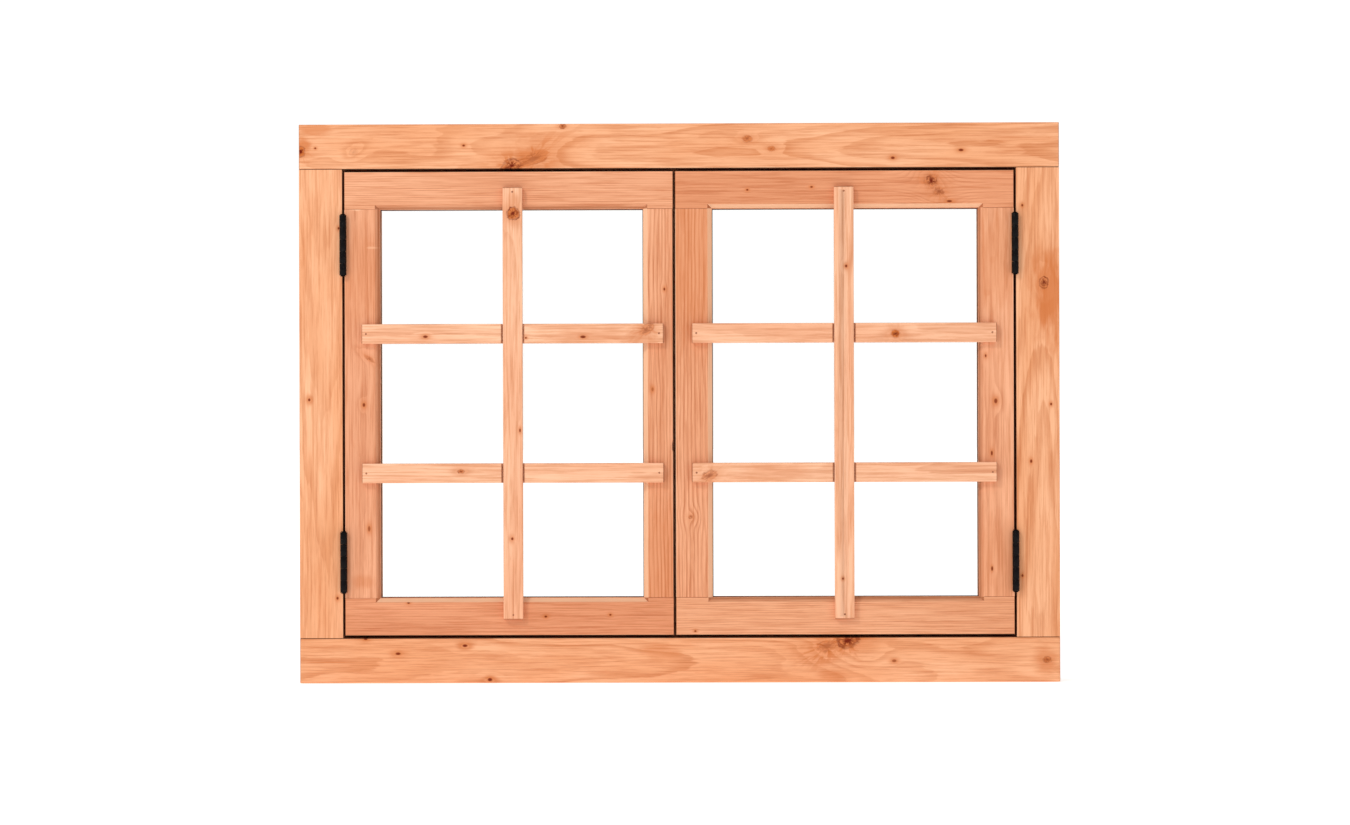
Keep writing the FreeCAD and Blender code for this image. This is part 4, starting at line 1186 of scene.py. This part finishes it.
@dataclass
class Hinges:
    """The four five-knuckle hinges, their pins and their frame screws."""

    ease_width: float = 0.0008

    def build(self, shop: Shop) -> None:
        """Make the leaves, pins and screws."""
        black = shop.metal(BLACK_STEEL)
        for side in ("left", "right"):
            for level in ("upper", "lower"):
                for part, body in (("frame", "frame"), ("sash", f"{side}_sash")):
                    node = f"{side}_{level}_hinge_{part}_leaf"
                    eased_metal(shop, node, body, black, self.ease_width)
        eased_metal(shop, "hinge_pins", "frame", black, self.ease_width)
        Fixings("hinge_frame_screws", "frame", "black_screw", BLACK_SCREW).build(shop)


@dataclass
class TowerBolts:
    """The two small bolts behind the meeting stiles."""

    ease_width: float = 0.0003

    def build(self, shop: Shop) -> None:
        """Make each plate and each sliding rod."""
        black = shop.metal(BLACK_BOLT)
        for side in ("left", "right"):
            eased_metal(shop, f"{side}_bolt_plate", f"{side}_sash", black, self.ease_width)
            eased_metal(shop, f"{side}_bolt_rod", f"{side}_bolt", black, self.ease_width)


@dataclass
class Studio:
    """The pale floor, the soft light and the camera."""

    floor_size: float = 60.0
    floor_drop: float = 0.0006
    floor_glow: float = 0.55
    sky_light: float = 0.66
    key_power: float = 75.0
    key_size: float = 0.8
    stand_off: float = 4.735
    lens: float = 102.45
    sensor: float = 36.0
    eye_x: float = -0.0055
    eye_z: float = 0.3303
    roll: float = 0.0028
    turn: float = 0.0090

    def build(self) -> None:
        """Set up the floor, the light and the camera."""
        self.build_floor()
        self.build_light()
        self.build_camera()
        bpy.context.scene.view_settings.view_transform = "Standard"

    def build_floor(self) -> None:
        """Lay a plain pale floor."""
        bm = bmesh.new()
        bmesh.ops.create_grid(bm, x_segments=1, y_segments=1, size=self.floor_size / 2)
        bmesh.ops.translate(bm, verts=bm.verts, vec=(0.0, 0.0, -self.floor_drop))
        mesh = bpy.data.meshes.new("floor")
        bm.to_mesh(mesh)
        bm.free()
        floor = bpy.data.objects.new("floor", mesh)
        bpy.context.scene.collection.objects.link(floor)
        made, w, where = new_material("pale_floor")
        matt = w.spread(w.noise(where, 3.0, 3.0).outputs[0], 0.3, 0.7, 0.85, 0.95)
        w.surface({
            "Base Color": (0.9, 0.9, 0.9), "Roughness": matt, "Specular IOR Level": 0.0,
            "Emission Color": (1.0, 1.0, 1.0), "Emission Strength": self.floor_glow})
        mesh.materials.append(made)

    def build_light(self) -> None:
        """Light the room evenly, with a broad soft light from the upper left."""
        world = bpy.data.worlds.new("soft_room")
        bpy.context.scene.world = world
        world.use_nodes = True
        world.node_tree.nodes.clear()
        w = Wiring(world.node_tree)
        path = w.node("ShaderNodeLightPath")
        seen = w.math("MAXIMUM", path.outputs["Is Camera Ray"], path.outputs["Is Transmission Ray"])
        strength = w.math("MULTIPLY_ADD", seen, 1.04 - self.sky_light, self.sky_light)
        sky = w.node("ShaderNodeBackground", {"Color": (1.0, 1.0, 1.0), "Strength": strength})
        out = w.node("ShaderNodeOutputWorld")
        w.feed(out.inputs[0], sky.outputs[0])
        key = bpy.data.lights.new("key", "AREA")
        key.shape, key.size, key.energy = "SQUARE", self.key_size, self.key_power
        lamp = bpy.data.objects.new("key", key)
        lamp.location = (-2.6, -3.6, 3.4)
        lamp.rotation_euler = (Vector((0.0, 0.0, 0.35)) - lamp.location).to_track_quat("-Z", "Y").to_euler()
        bpy.context.scene.collection.objects.link(lamp)

    def build_camera(self) -> None:
        """Stand the camera square to the window, a hair out of level."""
        eye = bpy.data.cameras.new("eye")
        eye.lens, eye.sensor_width = self.lens, self.sensor
        eye.clip_start, eye.clip_end = 0.1, 200.0
        camera = bpy.data.objects.new("eye", eye)
        side = self.stand_off * math.sin(self.turn)
        camera.location = (self.eye_x + side, -self.stand_off * math.cos(self.turn), self.eye_z)
        camera.rotation_euler = (math.radians(90.0), self.roll, self.turn)
        bpy.context.scene.collection.objects.link(camera)
        bpy.context.scene.camera = camera


def main() -> None:
    """Load the frame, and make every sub-assembly in order."""
    logging.basicConfig(level=logging.INFO, format="%(message)s")
    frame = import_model()
    shop = Shop(frame["nodes"], SharedGroups(), {})
    OuterFrame().build(shop)
    # Painted highlight goes on the bevels of the left sash's bottom rail and meeting stile and the right
    # sash's top rail and meeting stile; the rest get painted shade.
    Sash("left", ("bottom_rail", "meeting_stile")).build(shop)
    Sash("right", ("top_rail", "meeting_stile")).build(shop)
    Hinges().build(shop)
    TowerBolts().build(shop)
    Studio().build()


if __name__ == "__main__":
    main()
